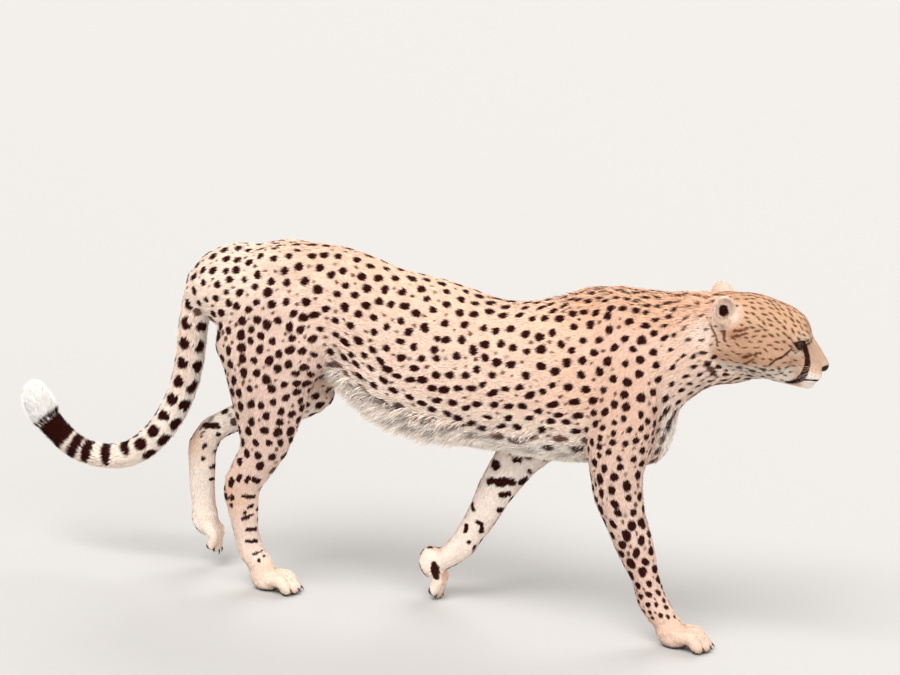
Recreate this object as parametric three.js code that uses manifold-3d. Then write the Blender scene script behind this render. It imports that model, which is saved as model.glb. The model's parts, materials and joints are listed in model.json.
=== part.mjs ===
// A walking cheetah, life size, in millimetres: +X is forward, +Y is its left and +Z is up.
// The body is one smooth implicit surface, made of tapered tubes and ellipsoids that blend. It is turned into
// triangles region by region and parted into named nodes by flat cuts.
import * as THREE from "three";
import Module from "manifold-3d";
import { mergeVertices } from "three/addons/utils/BufferGeometryUtils.js";

const wasm = await Module();
wasm.setup();

// ---------------------------------------------------------------- driving dimensions
const GAP = 0.3; // between nodes that touch
const FAR = 2000; // larger than the animal
const FORE_Y = 58; // half the track of the fore feet
const HIND_Y = 56; // half the track of the hind feet

// A station is [x, y, z, front or upper radius, back or lower radius, side radius].
const TORSO = [
  [-178, 0, 632, 34, 50, 44],
  [-150, 0, 628, 62, 82, 72],
  [-100, 0, 622, 88, 108, 86],
  [-40, 0, 616, 106, 112, 89],
  [30, 0, 610, 121, 116, 86],
  [100, 0, 598, 129, 112, 80],
  [165, 0, 572, 136, 140, 80],
  [235, 0, 545, 150, 172, 88],
  [320, 0, 525, 155, 174, 96],
  [400, 0, 515, 146, 165, 99],
  [480, 0, 515, 144, 167, 98],
  [560, 0, 518, 160, 174, 95],
  [640, 0, 518, 178, 168, 88],
  [700, 0, 512, 176, 150, 76],
  [742, 0, 500, 130, 108, 60],
];
const NECK = [
  [640, 0, 580, 114, 120, 76],
  [715, 1, 592, 112, 132, 74],
  [775, 4, 602, 110, 112, 69],
  [815, 7, 615, 103, 101, 65],
  [855, 10, 626, 95, 94, 62],
  [898, 12, 637, 91, 96, 59],
  [940, 14, 640, 74, 86, 54],
];
const FORE_RIGHT = [
  [668, -42, 640, 48, 44, 22],
  [702, -56, 565, 60, 58, 32],
  [716, -65, 490, 62, 72, 38],
  [706, -68, 430, 66, 66, 41],
  [702, -66, 380, 60, 62, 41],
  [704, -64, 340, 52, 55, 39],
  [709, -62, 300, 50, 51, 37],
  [726, -60, 250, 42, 42, 33],
  [743, -59, 210, 40, 40, 30],
  [760, -58, 170, 34, 35, 27],
  [776, -58, 130, 27.5, 28, 24],
  [789, -58, 95, 28, 31, 26],
  [806, -58, 66, 29, 27, 26],
  [826, -58, 42, 25, 20, 24],
];
const FORE_LEFT = [
  [650, 42, 635, 48, 44, 22],
  [662, 56, 560, 60, 58, 32],
  [650, 60, 490, 60, 70, 38],
  [596, 57, 425, 60, 64, 40],
  [530, 50, 373, 50, 58, 40],
  [484, 45, 331, 47, 49, 38],
  [462, 43, 298, 43, 44, 35],
  [433, 41, 246, 37, 38, 31],
  [416, 40, 207, 33, 33, 28],
  [400, 40, 172, 30, 31, 26],
  [386, 40, 149, 28, 29, 24],
  [372, 40, 122, 28, 28, 26],
  [344, 40, 94, 25, 24, 26],
  [320, 40, 74, 22, 20, 24],
];
const HIND_RIGHT = [
  [-45, -48, 612, 88, 92, 42],
  [-28, -57, 525, 122, 124, 49],
  [-29, -61, 455, 92, 96, 48],
  [-28, -61, 402, 78, 82, 43],
  [-32, -60, 352, 64, 66, 36],
  [-36, -59, 312, 52, 53, 31],
  [-46, -58, 282, 43, 45, 27],
  [-62, -57, 252, 39, 43, 24],
  [-79, -56, 222, 37, 41, 23],
  [-80, -56, 196, 36, 41, 22],
  [-77, -56, 166, 33, 34, 21],
  [-72, -56, 136, 29, 30, 21],
  [-65, -56, 106, 26, 27, 21],
  [-54, -56, 76, 27, 27, 23],
  [-34, -56, 50, 26, 24, 25],
];
const HIND_LEFT = [
  [-45, 48, 612, 88, 92, 42],
  [-18, 56, 525, 118, 120, 48],
  [6, 58, 462, 92, 92, 46],
  [18, 57, 410, 60, 78, 42],
  [-30, 54, 372, 46, 52, 36],
  [-88, 50, 345, 33, 38, 29],
  [-140, 48, 320, 27, 30, 24],
  [-186, 47, 290, 28, 29, 23],
  [-203, 46, 256, 32, 31, 22],
  [-201, 46, 215, 29, 31, 21],
  [-199, 46, 168, 27, 29, 21],
  [-194, 46, 122, 27, 27, 22],
  [-188, 46, 88, 26, 24, 24],
];
const TAIL = [
  [-128, 0, 672, 34, 34, 34],
  [-172, 0, 648, 36, 36, 34],
  [-200, 0, 608, 32, 33, 32],
  [-213, 0, 560, 30, 30, 30],
  [-218, 1, 517, 29, 30, 29],
  [-221, 2, 474, 29, 29, 29],
  [-226, 3, 430, 28, 29, 28],
  [-237, 4, 386, 28, 28, 28],
  [-255, 4, 340, 28, 28, 28],
  [-282, 4, 294, 28, 27, 27],
  [-314, 3, 257, 27, 27, 27],
  [-351, 2, 232, 26, 26, 26],
  [-390, 0, 223, 25, 25, 25],
  [-430, -2, 224, 24, 24, 24],
  [-466, -4, 235, 24, 24, 24],
  [-498, -6, 259, 24, 24, 24],
  [-524, -7, 284, 25, 25, 25],
  [-541, -8, 305, 27, 27, 27],
  [-550, -9, 322, 26, 26, 26],
  [-554, -9, 336, 20, 20, 20],
];

// The head's own frame: x along the muzzle, y to its left, z out of its crown.
const HEAD_AT = [959, 12, 645.6];
const HEAD_YAW = 11;
const HEAD_PITCH = 17;
const EYE = { x: 62, y: 34, z: 17, r: 16.5, lid: 3, open: 8.5, long: 15.5 };
const EAR = { x: -80, y: 46, z: 18, middle: 21, long: 32, wide: 25, deep: 14, wall: 4.5, base: 8 };
const MOUTH = { front: 134, corner: 86, frontZ: -41, cornerZ: -62, deep: 6, half: 1.7 };

// The toes of a paw, from the outer to the inner one: sideways place and reach.
const TOES = [
  { side: -22, reach: 54 },
  { side: -8, reach: 65 },
  { side: 8, reach: 65 },
  { side: 22, reach: 54 },
];
// at is the middle of the sole under the main pad, pitch turns the toes down, and yaw turns them to the left.
const PAWS = {
  forepaw_right: { at: [846, -58, 0], pitch: 0, yaw: -3, size: 1.04 },
  forepaw_left: { at: [288, 40, 56], pitch: 62, yaw: 0, size: 0.98 },
  hindpaw_right: { at: [-15, -56, 0], pitch: 0, yaw: -3, size: 1.0 },
  hindpaw_left: { at: [-206, 46, 80], pitch: 52, yaw: 0, size: 0.98 },
};

// ---------------------------------------------------------------- small vector and angle tools
const add = (a, b, t = 1) => [a[0] + b[0] * t, a[1] + b[1] * t, a[2] + b[2] * t];
const sub = (a, b) => [a[0] - b[0], a[1] - b[1], a[2] - b[2]];
const dot = (a, b) => a[0] * b[0] + a[1] * b[1] + a[2] * b[2];
const cross = (a, b) => [
  a[1] * b[2] - a[2] * b[1],
  a[2] * b[0] - a[0] * b[2],
  a[0] * b[1] - a[1] * b[0],
];
const unit = (a) => {
  const n = Math.hypot(...a);
  return [a[0] / n, a[1] / n, a[2] / n];
};
const mix = (a, b, t) => a + (b - a) * t;
const clamp = (v, low, high) => Math.min(Math.max(v, low), high);
const rad = THREE.MathUtils.degToRad;

// A frame is an origin and three unit vectors: f forward, s to the left, u up.
function turned(at, yaw, pitch) {
  const f = [
    Math.cos(rad(yaw)) * Math.cos(rad(pitch)),
    Math.sin(rad(yaw)) * Math.cos(rad(pitch)),
    -Math.sin(rad(pitch)),
  ];
  const s = [-Math.sin(rad(yaw)), Math.cos(rad(yaw)), 0];
  return { at, f, s, u: cross(f, s) };
}
const inside = (frame, p) => {
  const d = sub(p, frame.at);
  return [dot(d, frame.f), dot(d, frame.s), dot(d, frame.u)];
};
const outside = (frame, q) =>
  add(add(add(frame.at, frame.f, q[0]), frame.s, q[1]), frame.u, q[2]);

// ---------------------------------------------------------------- shapes: functions of a point, negative inside
const blend = (a, b, k) => {
  const h = Math.max(k - Math.abs(a - b), 0);
  return Math.min(a, b) - (h * h) / (4 * k);
};
const carve = (a, b, k) => -blend(-a, b, k);
const common = (a, b, k) => -blend(-a, -b, k);

// The distance to an ellipsoid's surface along the ray from its centre, which is near enough for blending.
function ellipsoid([ax, ay, az], [rx, ry, rz], frame) {
  const smallest = Math.min(rx, ry, rz);
  const { f, s, u } = frame ?? { f: [1, 0, 0], s: [0, 1, 0], u: [0, 0, 1] };
  return (p) => {
    const [x, y, z] = [p[0] - ax, p[1] - ay, p[2] - az];
    const a = (x * f[0] + y * f[1] + z * f[2]) / rx;
    const b = (x * s[0] + y * s[1] + z * s[2]) / ry;
    const c = (x * u[0] + y * u[1] + z * u[2]) / rz;
    const share = Math.sqrt(a * a + b * b + c * c);
    return share < 1e-4 ? -smallest : (Math.sqrt(x * x + y * y + z * z) * (share - 1)) / share;
  };
}
const pair = (make) => {
  const [left, right] = [make(1), make(-1)];
  return (p) => Math.min(left(p), right(p));
};

// A smooth curve through stations, in steps of about the given length.
function spline(stations, step) {
  const fine = [];
  for (let i = 0; i < stations.length - 1; i++) {
    const k = [i - 1, i, i + 1, i + 2].map((j) => stations[clamp(j, 0, stations.length - 1)]);
    const count = Math.max(1, Math.round(Math.hypot(...sub(k[2], k[1])) / step));
    for (let n = 0; n < count; n++) {
      const t = n / count;
      fine.push(
        k[1].map((_, c) => {
          const [a, b, d, e] = k.map((s) => s[c]);
          return b + 0.5 * t * (d - a + t * (2 * a - 5 * b + 4 * d - e + t * (3 * (b - d) + e - a)));
        }),
      );
    }
  }
  fine.push(stations.at(-1));
  return fine;
}

// A tube with elliptical sections across its curve, and rounded ends. Far from its box, the box's distance will do.
const NEAR = 70;
const boxAway = ([x, y, z], low, high) =>
  Math.max(low[0] - x, x - high[0], low[1] - y, y - high[1], low[2] - z, z - high[2]);

function tube(stations, step = 16) {
  const fine = spline(stations, step);
  const rings = fine.map((s, i) => {
    const along = unit(sub(fine[Math.min(i + 1, fine.length - 1)], fine[Math.max(i - 1, 0)]));
    const side = unit(add([0, 1, 0], along, -along[1]));
    return { at: s.slice(0, 3), along, side, front: cross(along, side), radii: s.slice(3) };
  });
  const low = [0, 1, 2].map((i) => Math.min(...fine.map((s) => s[i] - Math.max(s[3], s[4], s[5]))));
  const high = [0, 1, 2].map((i) => Math.max(...fine.map((s) => s[i] + Math.max(s[3], s[4], s[5]))));
  // Each link as a row of numbers: start, way, 1 / length squared, reach, then both ends' axes and radii.
  const links = rings.slice(0, -1).map((a, i) => {
    const b = rings[i + 1];
    const way = sub(b.at, a.at);
    const reach = Math.max(...a.radii, ...b.radii);
    const ends = [a, b].flatMap((r) => [...r.front, ...r.side, ...r.along, ...r.radii]);
    return new Float64Array([...a.at, ...way, 1 / dot(way, way), reach, ...ends]);
  });
  const BACK = 12; // where the far end's numbers follow the near end's
  const across = (l, o, x, y, z) => x * l[o] + y * l[o + 1] + z * l[o + 2];
  return (p) => {
    const away = boxAway(p, low, high);
    if (away > NEAR) return away;
    let best = Infinity;
    for (const l of links) {
      const [x, y, z] = [p[0] - l[0], p[1] - l[1], p[2] - l[2]];
      const t = clamp((x * l[3] + y * l[4] + z * l[5]) * l[6], 0, 1);
      const [dx, dy, dz] = [x - l[3] * t, y - l[4] * t, z - l[5] * t];
      const far = Math.sqrt(dx * dx + dy * dy + dz * dz);
      if (far - l[7] > best) continue;
      const a = mix(across(l, 8, dx, dy, dz), across(l, 8 + BACK, dx, dy, dz), t);
      const b = mix(across(l, 11, dx, dy, dz), across(l, 11 + BACK, dx, dy, dz), t);
      const c = mix(across(l, 14, dx, dy, dz), across(l, 14 + BACK, dx, dy, dz), t);
      const front = a > 0 ? mix(l[17], l[17 + BACK], t) : mix(l[18], l[18 + BACK], t);
      const side = mix(l[19], l[19 + BACK], t);
      const cap = Math.min(front, side);
      const share = Math.sqrt((a / front) ** 2 + (b / side) ** 2 + (c / cap) ** 2);
      best = Math.min(best, share < 1e-4 ? -cap : (far * (share - 1)) / share);
    }
    return best;
  };
}

// ---------------------------------------------------------------- the head
const headFrame = turned(HEAD_AT, HEAD_YAW, HEAD_PITCH);

// The eye looks forward and outward. side is 1 for the left eye and -1 for the right one.
function eyeFrame(side) {
  const f = unit([0.74, side * 0.65, 0.1]);
  const s = unit(cross([side * -0.12, 0, 1], f));
  return { at: [EYE.x, side * EYE.y, EYE.z], f, s, u: cross(f, s) };
}
// The ear rises backward and outward, and its cup opens to the side and forward.
function earFrame(side) {
  const u = unit([-0.6, side * 0.38, 0.7]);
  const open = [0.5, side * 0.86, 0.05];
  const f = unit(add(open, u, -dot(open, u)));
  return { at: [EAR.x, side * EAR.y, EAR.z], f, s: cross(u, f), u };
}

const skullForms = [
  [ellipsoid([-14, 0, 14], [92, 60, 63]), 0],
  [ellipsoid([38, 0, 28], [52, 46, 45]), 18],
  [pair((y) => ellipsoid([61, y * 30, 34], [25, 18, 15])), 14],
  [pair((y) => ellipsoid([14, y * 36, -20], [56, 33, 46])), 20],
  [pair((y) => ellipsoid([-42, y * 36, -22], [46, 30, 48])), 22],
  [ellipsoid([84, 0, -14], [42, 33, 34]), 18],
  [tube([[70, 0, 24, 22, 22, 22], [104, 0, 6, 17, 17, 17], [130, 0, -10, 13, 13, 15]], 9), 12],
  [pair((y) => ellipsoid([112, y * 16, -34], [27, 18, 23])), 8],
  [ellipsoid([136, 0, -15], [11, 14.5, 12]), 5],
  [tube([[0, 0, -52, 30, 28, 46], [50, 0, -58, 24, 20, 38], [104, 0, -59, 15, 13, 21]], 12), 14],
  [ellipsoid([118, 0, -56], [16, 18, 15]), 8],
];
function skullAt(q) {
  let d = Infinity;
  for (const [form, k] of skullForms) d = k ? blend(d, form(q), k) : form(q);
  return d;
}
// Lids are a shell round each eye with an almond cut through it.
function lidsAt(q, d) {
  for (const side of [1, -1]) {
    const e = inside(eyeFrame(side), q);
    const far = Math.hypot(...e);
    if (far > 3 * EYE.r) continue;
    d = blend(d, far - EYE.r - EYE.lid, 6);
    const slit = Math.abs(e[2]) - EYE.open * (1 - (e[1] / EYE.long) ** 2);
    d = carve(d, Math.max(slit * 0.7, 4 - e[0], far - EYE.r - 12), 1.5);
  }
  return d;
}
function mouthCut(q, d) {
  const t = (MOUTH.front - q[0]) / (MOUTH.front - MOUTH.corner);
  const line = mix(MOUTH.frontZ, MOUTH.cornerZ, t) + 4 * Math.sin(Math.PI * clamp(t, 0, 1));
  const slot = Math.max(Math.abs(q[2] - line) - MOUTH.half, MOUTH.corner - q[0], -d - MOUTH.deep);
  return carve(d, slot, 2);
}
const nostrils = pair((y) => ellipsoid([146, y * 7.5, -15], [7, 4, 3.2]));
const chinGroove = ellipsoid([141, 0, -33], [6, 1.8, 12]);

const ears = [1, -1].map((side) => {
  const frame = earFrame(side);
  const shell = ellipsoid([0, 0, EAR.middle], [EAR.deep, EAR.wide, EAR.long]);
  const inner = [EAR.deep, EAR.wide - EAR.wall, EAR.long - EAR.wall];
  const hollow = ellipsoid([5, 0, EAR.middle + 2], inner);
  return { frame, shell, hollow };
});
function earsAt(q, d) {
  for (const { frame, shell, hollow } of ears) {
    const e = inside(frame, q);
    if (Math.hypot(...e) > 2.5 * EAR.long) continue;
    d = blend(d, common(shell(e), e[0] - 6, 6), 7);
    d = carve(d, common(hollow(e), 2 - e[2], 5), 3);
  }
  return d;
}

// The head is blended into the neck first, and its details are cut into the whole.
function headForm(p) {
  const q = inside(headFrame, p);
  const away = boxAway(q, [-110, -75, -105], [150, 75, 85]);
  return away > NEAR ? away : skullAt(q);
}
function headDetails(p, d) {
  const q = inside(headFrame, p);
  if (boxAway(q, [-150, -100, -80], [160, 100, 100]) > 0) return d;
  d = earsAt(q, d);
  d = mouthCut(q, d);
  d = carve(d, nostrils(q), 1.5);
  d = carve(d, chinGroove(q), 2);
  return lidsAt(q, d);
}

// ---------------------------------------------------------------- paws
function pawForms({ at, pitch, yaw, size }) {
  const frame = turned(at, yaw, pitch);
  const scaled = (form) => (p) => form(inside(frame, p).map((v) => v / size)) * size;
  const main = ellipsoid([-2, 0, 11], [26, 25, 14]);
  const back = ellipsoid([-12, 0, 29], [30, 26, 24]);
  const toes = TOES.map(({ side, reach }) =>
    tube([
      [8, side * 0.8, 26, 14, 14, 12],
      [34, side * 1.02, 27, 13, 13, 12],
      [reach - 6, side * 1.16, 9.5, 11.5, 11.5, 10.5],
    ], 10),
  );
  return scaled((q) => {
    const away = boxAway(q, [-45, -40, -5], [75, 40, 60]);
    if (away > NEAR) return away;
    let d = blend(main(q), back(q), 14);
    for (const toe of toes) d = blend(d, toe(q), 5);
    return d;
  });
}
const paws = Object.fromEntries(Object.entries(PAWS).map(([name, p]) => [name, pawForms(p)]));

// ---------------------------------------------------------------- the whole body
const torso = tube(TORSO, 24);
const neck = tube(NECK, 20);
const tail = tube(TAIL, 14);
const muscles = [
  [ellipsoid([735, 0, 425], [60, 58, 74]), 40], // breast
  [pair((y) => ellipsoid([672, y * 40, 640], [36, 26, 62])), 26], // shoulder blades
  [pair((y) => ellipsoid([-20, y * 46, 690], [60, 26, 28])), 30], // hip bones
];
const limb = (stations, paw) => {
  const leg = tube(stations, 26);
  return (p) => blend(leg(p), paw(p), 12);
};
const limbs = {
  foreRight: limb(FORE_RIGHT, paws.forepaw_right),
  foreLeft: limb(FORE_LEFT, paws.forepaw_left),
  hindRight: limb(HIND_RIGHT, paws.hindpaw_right),
  hindLeft: limb(HIND_LEFT, paws.hindpaw_left),
};
function trunk(p) {
  let d = blend(torso(p), neck(p), 50);
  for (const [form, k] of muscles) d = blend(d, form(p), k);
  return headDetails(p, blend(d, headForm(p), 16));
}
const TAIL_BLEND = 26;
// Each limb blends with the trunk but not with the other limbs.
const trunkAndTail = (p) => blend(trunk(p), tail(p), TAIL_BLEND);
const trunkAnd = (name) => (p) => blend(trunk(p), limbs[name](p), 26);
function body(p) {
  const core = trunk(p);
  let d = blend(core, tail(p), TAIL_BLEND);
  for (const form of Object.values(limbs)) d = Math.min(d, blend(core, form(p), 26));
  return d;
}

// ---------------------------------------------------------------- from a shape to triangles
// Marching tetrahedra: each cell is six tetrahedra, and the surface crosses their edges.
const TETRA = [
  [0, 1, 3, 7],
  [0, 1, 5, 7],
  [0, 2, 3, 7],
  [0, 2, 6, 7],
  [0, 4, 5, 7],
  [0, 4, 6, 7],
];
const BLOCK = 4; // cells along a block that is skipped when the surface is far from it

function polygonise(shape, low, high, cell) {
  const count = low.map((v, i) => Math.ceil((high[i] - v) / cell / BLOCK) * BLOCK);
  const size = count.map((n) => n + 1);
  const values = new Float64Array(size[0] * size[1] * size[2]).fill(NaN);
  const index = (i, j, k) => (k * size[1] + j) * size[0] + i;
  const place = (i, j, k) => [low[0] + i * cell, low[1] + j * cell, low[2] + k * cell];
  const value = (i, j, k) => {
    const n = index(i, j, k);
    if (Number.isNaN(values[n])) values[n] = shape(place(i, j, k)) || 1e-6;
    return values[n];
  };
  const points = [];
  const faces = [];
  const made = new Map();
  const corner = (i, j, k, c) => [i + (c & 1), j + ((c >> 1) & 1), k + ((c >> 2) & 1)];
  const crossing = (a, b) => {
    const [na, nb] = [index(...a), index(...b)];
    const key = na < nb ? na * values.length + nb : nb * values.length + na;
    if (!made.has(key)) {
      const t = clamp(values[na] / (values[na] - values[nb]), 0.02, 0.98);
      const [pa, pb] = [place(...a), place(...b)];
      made.set(key, points.length);
      points.push(pa.map((v, i) => mix(v, pb[i], t)));
    }
    return made.get(key);
  };
  const face = (a, b, c, outward) => {
    const n = cross(sub(points[b], points[a]), sub(points[c], points[a]));
    faces.push(dot(n, outward) > 0 ? [a, b, c] : [a, c, b]);
  };
  const cellFaces = (i, j, k) => {
    for (const tetra of TETRA) {
      const at = tetra.map((c) => corner(i, j, k, c));
      const inner = at.filter((c) => value(...c) < 0);
      const outer = at.filter((c) => value(...c) >= 0);
      if (!inner.length || !outer.length) continue;
      const middle = (list) => list.reduce((s, c) => add(s, c, 1 / list.length), [0, 0, 0]);
      const outward = sub(middle(outer), middle(inner));
      const ring =
        inner.length === 2
          ? [[0, 0], [0, 1], [1, 1], [1, 0]].map(([a, b]) => crossing(inner[a], outer[b]))
          : inner.flatMap((a) => outer.map((b) => crossing(a, b)));
      face(ring[0], ring[1], ring[2], outward);
      if (ring.length === 4) face(ring[0], ring[2], ring[3], outward);
    }
  };
  const near = BLOCK * cell * 1.5;
  for (let k = 0; k < count[2]; k += BLOCK)
    for (let j = 0; j < count[1]; j += BLOCK)
      for (let i = 0; i < count[0]; i += BLOCK) {
        const half = BLOCK / 2;
        if (Math.abs(value(i + half, j + half, k + half)) > near) continue;
        for (let n = 0; n < BLOCK ** 3; n++)
          cellFaces(i + (n % BLOCK), j + (Math.floor(n / BLOCK) % BLOCK), k + Math.floor(n / BLOCK ** 2));
      }
  return { points, faces };
}

// Edge collapse by quadric error, down to the wanted number of triangles.
function simplify({ points, faces }, wanted) {
  const quadrics = points.map(() => new Float64Array(10));
  const around = points.map(() => new Set());
  const alive = faces.map(() => true);
  const normalOf = ([a, b, c], at = points) => cross(sub(at[b], at[a]), sub(at[c], at[a]));
  faces.forEach((f, i) => {
    const n = normalOf(f);
    const area = Math.hypot(...n) / 2;
    f.forEach((v) => around[v].add(i));
    if (area < 1e-9) return;
    const [a, b, c] = unit(n);
    const d = -dot([a, b, c], points[f[0]]);
    const q = [a * a, a * b, a * c, a * d, b * b, b * c, b * d, c * c, c * d, d * d];
    f.forEach((v) => q.forEach((value, j) => (quadrics[v][j] += value * area)));
  });
  const version = new Uint32Array(points.length);
  const error = (q, [x, y, z]) =>
    q[0] * x * x + 2 * q[1] * x * y + 2 * q[2] * x * z + 2 * q[3] * x + q[4] * y * y +
    2 * q[5] * y * z + 2 * q[6] * y + q[7] * z * z + 2 * q[8] * z + q[9];
  const bestPlace = (q, a, b) => {
    const middle = a.map((v, i) => (v + b[i]) / 2);
    const w = 1e-3 * (q[0] + q[4] + q[7]) + 1e-9; // holds the point near the edge where the surface is flat
    const m = new THREE.Matrix3().set(q[0] + w, q[1], q[2], q[1], q[4] + w, q[5], q[2], q[5], q[7] + w);
    if (Math.abs(m.determinant()) < 1e-12) return middle;
    const r = new THREE.Vector3(w * middle[0] - q[3], w * middle[1] - q[6], w * middle[2] - q[8]);
    const solved = r.applyMatrix3(m.invert()).toArray();
    return Math.hypot(...sub(solved, middle)) < 2 * Math.hypot(...sub(a, b)) ? solved : middle;
  };
  const heap = [];
  const push = (item) => {
    let i = heap.push(item) - 1;
    while (i && heap[(i - 1) >> 1].cost > item.cost) {
      heap[i] = heap[(i - 1) >> 1];
      i = (i - 1) >> 1;
    }
    heap[i] = item;
  };
  const pop = () => {
    const top = heap[0];
    const last = heap.pop();
    if (!heap.length) return top;
    let i = 0;
    for (let c = 1; c < heap.length; c = 2 * i + 1) {
      if (c + 1 < heap.length && heap[c + 1].cost < heap[c].cost) c++;
      if (heap[c].cost >= last.cost) break;
      heap[i] = heap[c];
      i = c;
    }
    heap[i] = last;
    return top;
  };
  const consider = (a, b) => {
    const q = quadrics[a].map((v, i) => v + quadrics[b][i]);
    const at = bestPlace(q, points[a], points[b]);
    const length = Math.hypot(...sub(points[a], points[b]));
    push({ cost: Math.max(error(q, at), 0) + 1e-5 * length ** 3, a, b, at, va: version[a], vb: version[b] });
  };
  const neighbours = (v) => {
    const found = new Set();
    for (const f of around[v]) for (const w of faces[f]) if (w !== v) found.add(w);
    return found;
  };
  const flips = (v, other, at) => {
    for (const f of around[v]) {
      if (faces[f].includes(other)) continue;
      const before = normalOf(faces[f]);
      const [a, b, c] = faces[f].map((w) => (w === v ? at : points[w]));
      const after = cross(sub(b, a), sub(c, a));
      const size = Math.hypot(...before) * Math.hypot(...after);
      if (dot(before, after) < 0.25 * size || Math.hypot(...after) < 1e-3) return true;
    }
    return false;
  };
  let left = faces.length;
  faces.forEach((f) => f.forEach((v, i) => v < f[(i + 1) % 3] && consider(v, f[(i + 1) % 3])));
  while (left > wanted && heap.length) {
    const { a, b, at, va, vb } = pop();
    if (version[a] !== va || version[b] !== vb) continue;
    const near = neighbours(b);
    const shared = [...neighbours(a)].filter((v) => near.has(v));
    if (shared.length !== 2 || flips(a, b, at) || flips(b, a, at)) continue;
    points[a] = at;
    quadrics[b].forEach((v, i) => (quadrics[a][i] += v));
    for (const f of around[b]) {
      if (faces[f].includes(a)) {
        alive[f] = false;
        left--;
        faces[f].forEach((v) => v !== b && around[v].delete(f));
      } else {
        faces[f] = faces[f].map((v) => (v === b ? a : v));
        around[a].add(f);
      }
    }
    around[b].clear();
    version[a]++;
    version[b]++;
    for (const v of neighbours(a)) consider(a, v);
  }
  return { points, faces: faces.filter((_, i) => alive[i]) };
}

// ---------------------------------------------------------------- solids
function solidFrom({ points, faces }) {
  const used = new Map();
  const vertProperties = [];
  const triVerts = faces.flat().map((v) => {
    if (!used.has(v)) {
      used.set(v, used.size);
      vertProperties.push(...points[v]);
    }
    return used.get(v);
  });
  return new wasm.Manifold(
    new wasm.Mesh({
      numProp: 3,
      vertProperties: new Float32Array(vertProperties),
      triVerts: new Uint32Array(triVerts),
    }),
  );
}
function solidOf(geometry) {
  const plain = geometry.clone().deleteAttribute("normal").deleteAttribute("uv");
  const merged = mergeVertices(plain, 1e-3);
  return new wasm.Manifold(
    new wasm.Mesh({
      numProp: 3,
      vertProperties: new Float32Array(merged.attributes.position.array),
      triVerts: new Uint32Array(merged.index.array),
    }),
  );
}
const largest = (solid) =>
  solid.decompose().reduce((a, b) => (b.volume() > a.volume() ? b : a));

// What lies behind a plane, as a large box: a point moves out along the normal to leave it.
function behind([point, normal], shift = 0) {
  const n = new THREE.Vector3(...normal).normalize();
  const box = new THREE.BoxGeometry(FAR, FAR, FAR);
  box.applyQuaternion(new THREE.Quaternion().setFromUnitVectors(new THREE.Vector3(0, 0, 1), n));
  const centre = new THREE.Vector3(...point).addScaledVector(n, -FAR / 2 + shift);
  box.translate(...centre.toArray());
  return solidOf(box);
}

// One node: the shape inside a box, made of the wanted number of triangles, less what the planes cut off.
const beyond = ([point, normal], p) => dot(sub(p, point), unit(normal));
function region(shape, { low, high, cell, triangles, cuts = [] }) {
  const walls = (p) => Math.max(...p.map((v, i) => Math.max(low[i] - v, v - high[i]) + cell));
  const kept = (p) => {
    let outer = walls(p);
    for (const cut of cuts) outer = Math.max(outer, beyond(cut, p) - 2 * cell);
    return outer > 3 * cell ? outer : Math.max(outer, shape(p));
  };
  let solid = solidFrom(simplify(polygonise(kept, low, high, cell), triangles));
  for (const cut of cuts) solid = solid.intersect(behind(cut, -GAP / 2));
  return largest(solid);
}
const flip = ([point, normal]) => [point, normal.map((v) => -v)];

// ---------------------------------------------------------------- where the nodes part
// Each cut is a point of the plane and its normal, which points to the part that is cut off.
const CUT = {
  headBack: [outside(headFrame, [-100, 0, 0]), unit(add(headFrame.f, headFrame.u, 0.3)).map((v) => -v)],
  neckBack: [[790, 0, 600], unit([-1, 0, -0.25])],
  chestBack: [[395, 0, 500], [-1, 0, 0]],
  bellyBack: [[118, 0, 500], [-1, 0, 0]],
  rump: [[-203, 0, 598], unit([0.4, 0, 0.92])],
  tailFront: [[-170, 0, 0], [1, 0, 0]],
  tail1: [[-226, 0, 430], unit([-0.1, 0, -1])],
  tail2: [[-332, 0, 244], unit([-0.86, 0, -0.5])],
  tail3: [[-482, 0, 246], unit([-0.82, 0, 0.57])],
  elbows: [[0, 0, 342], [0, 0, -1]],
  wristRight: [[793, 0, 88], unit([0.5, 0, -1])],
  wristLeft: [[368, 0, 116], unit([-0.9, 0, -1])],
  groin: [[-30, 0, 510], unit([-0.22, 0, -1])],
  kneeRight: [[0, 0, 405], unit([-0.35, 0, -1])],
  kneeLeft: [[0, 0, 385], unit([-0.45, 0, -0.9])],
  hockRight: [[-75, 0, 222], unit([-0.3, 0, -1])],
  hockLeft: [[-196, 0, 272], unit([-0.25, 0, -1])],
  ankleRight: [[-52, 0, 78], unit([0.4, 0, -1])],
  ankleLeft: [[-190, 0, 100], unit([0.1, 0, -1])],
  floor: [[0, 0, 0], [0, 0, -1]],
};
const LEFT_HALF = [[0, 0, 0], [0, -1, 0]]; // keeps the left
const RIGHT_HALF = [[0, 0, 0], [0, 1, 0]]; // keeps the right

// ---------------------------------------------------------------- claws, eyes and locks of long hair
let seed = 7;
const random = (low = 0, high = 1) => {
  seed = (seed * 1103515245 + 12345) % 2147483648;
  return mix(low, high, seed / 2147483648);
};

// A closed solid through rings of points and out to a tip.
function loft(rings, tip) {
  const n = rings[0].length;
  const points = [...rings.flat(), tip];
  const faces = [];
  for (let i = 1; i < n - 1; i++) faces.push([0, i + 1, i]);
  for (let r = 0; r < rings.length; r++)
    for (let i = 0; i < n; i++) {
      const [a, b] = [r * n + i, r * n + ((i + 1) % n)];
      if (r === rings.length - 1) faces.push([a, b, points.length - 1]);
      else faces.push([a, b, b + n], [a, b + n, a + n]);
    }
  const solid = solidFrom({ points, faces });
  return solid.volume() < 0 ? solidFrom({ points, faces: faces.map(([a, b, c]) => [a, c, b]) }) : solid;
}

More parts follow.
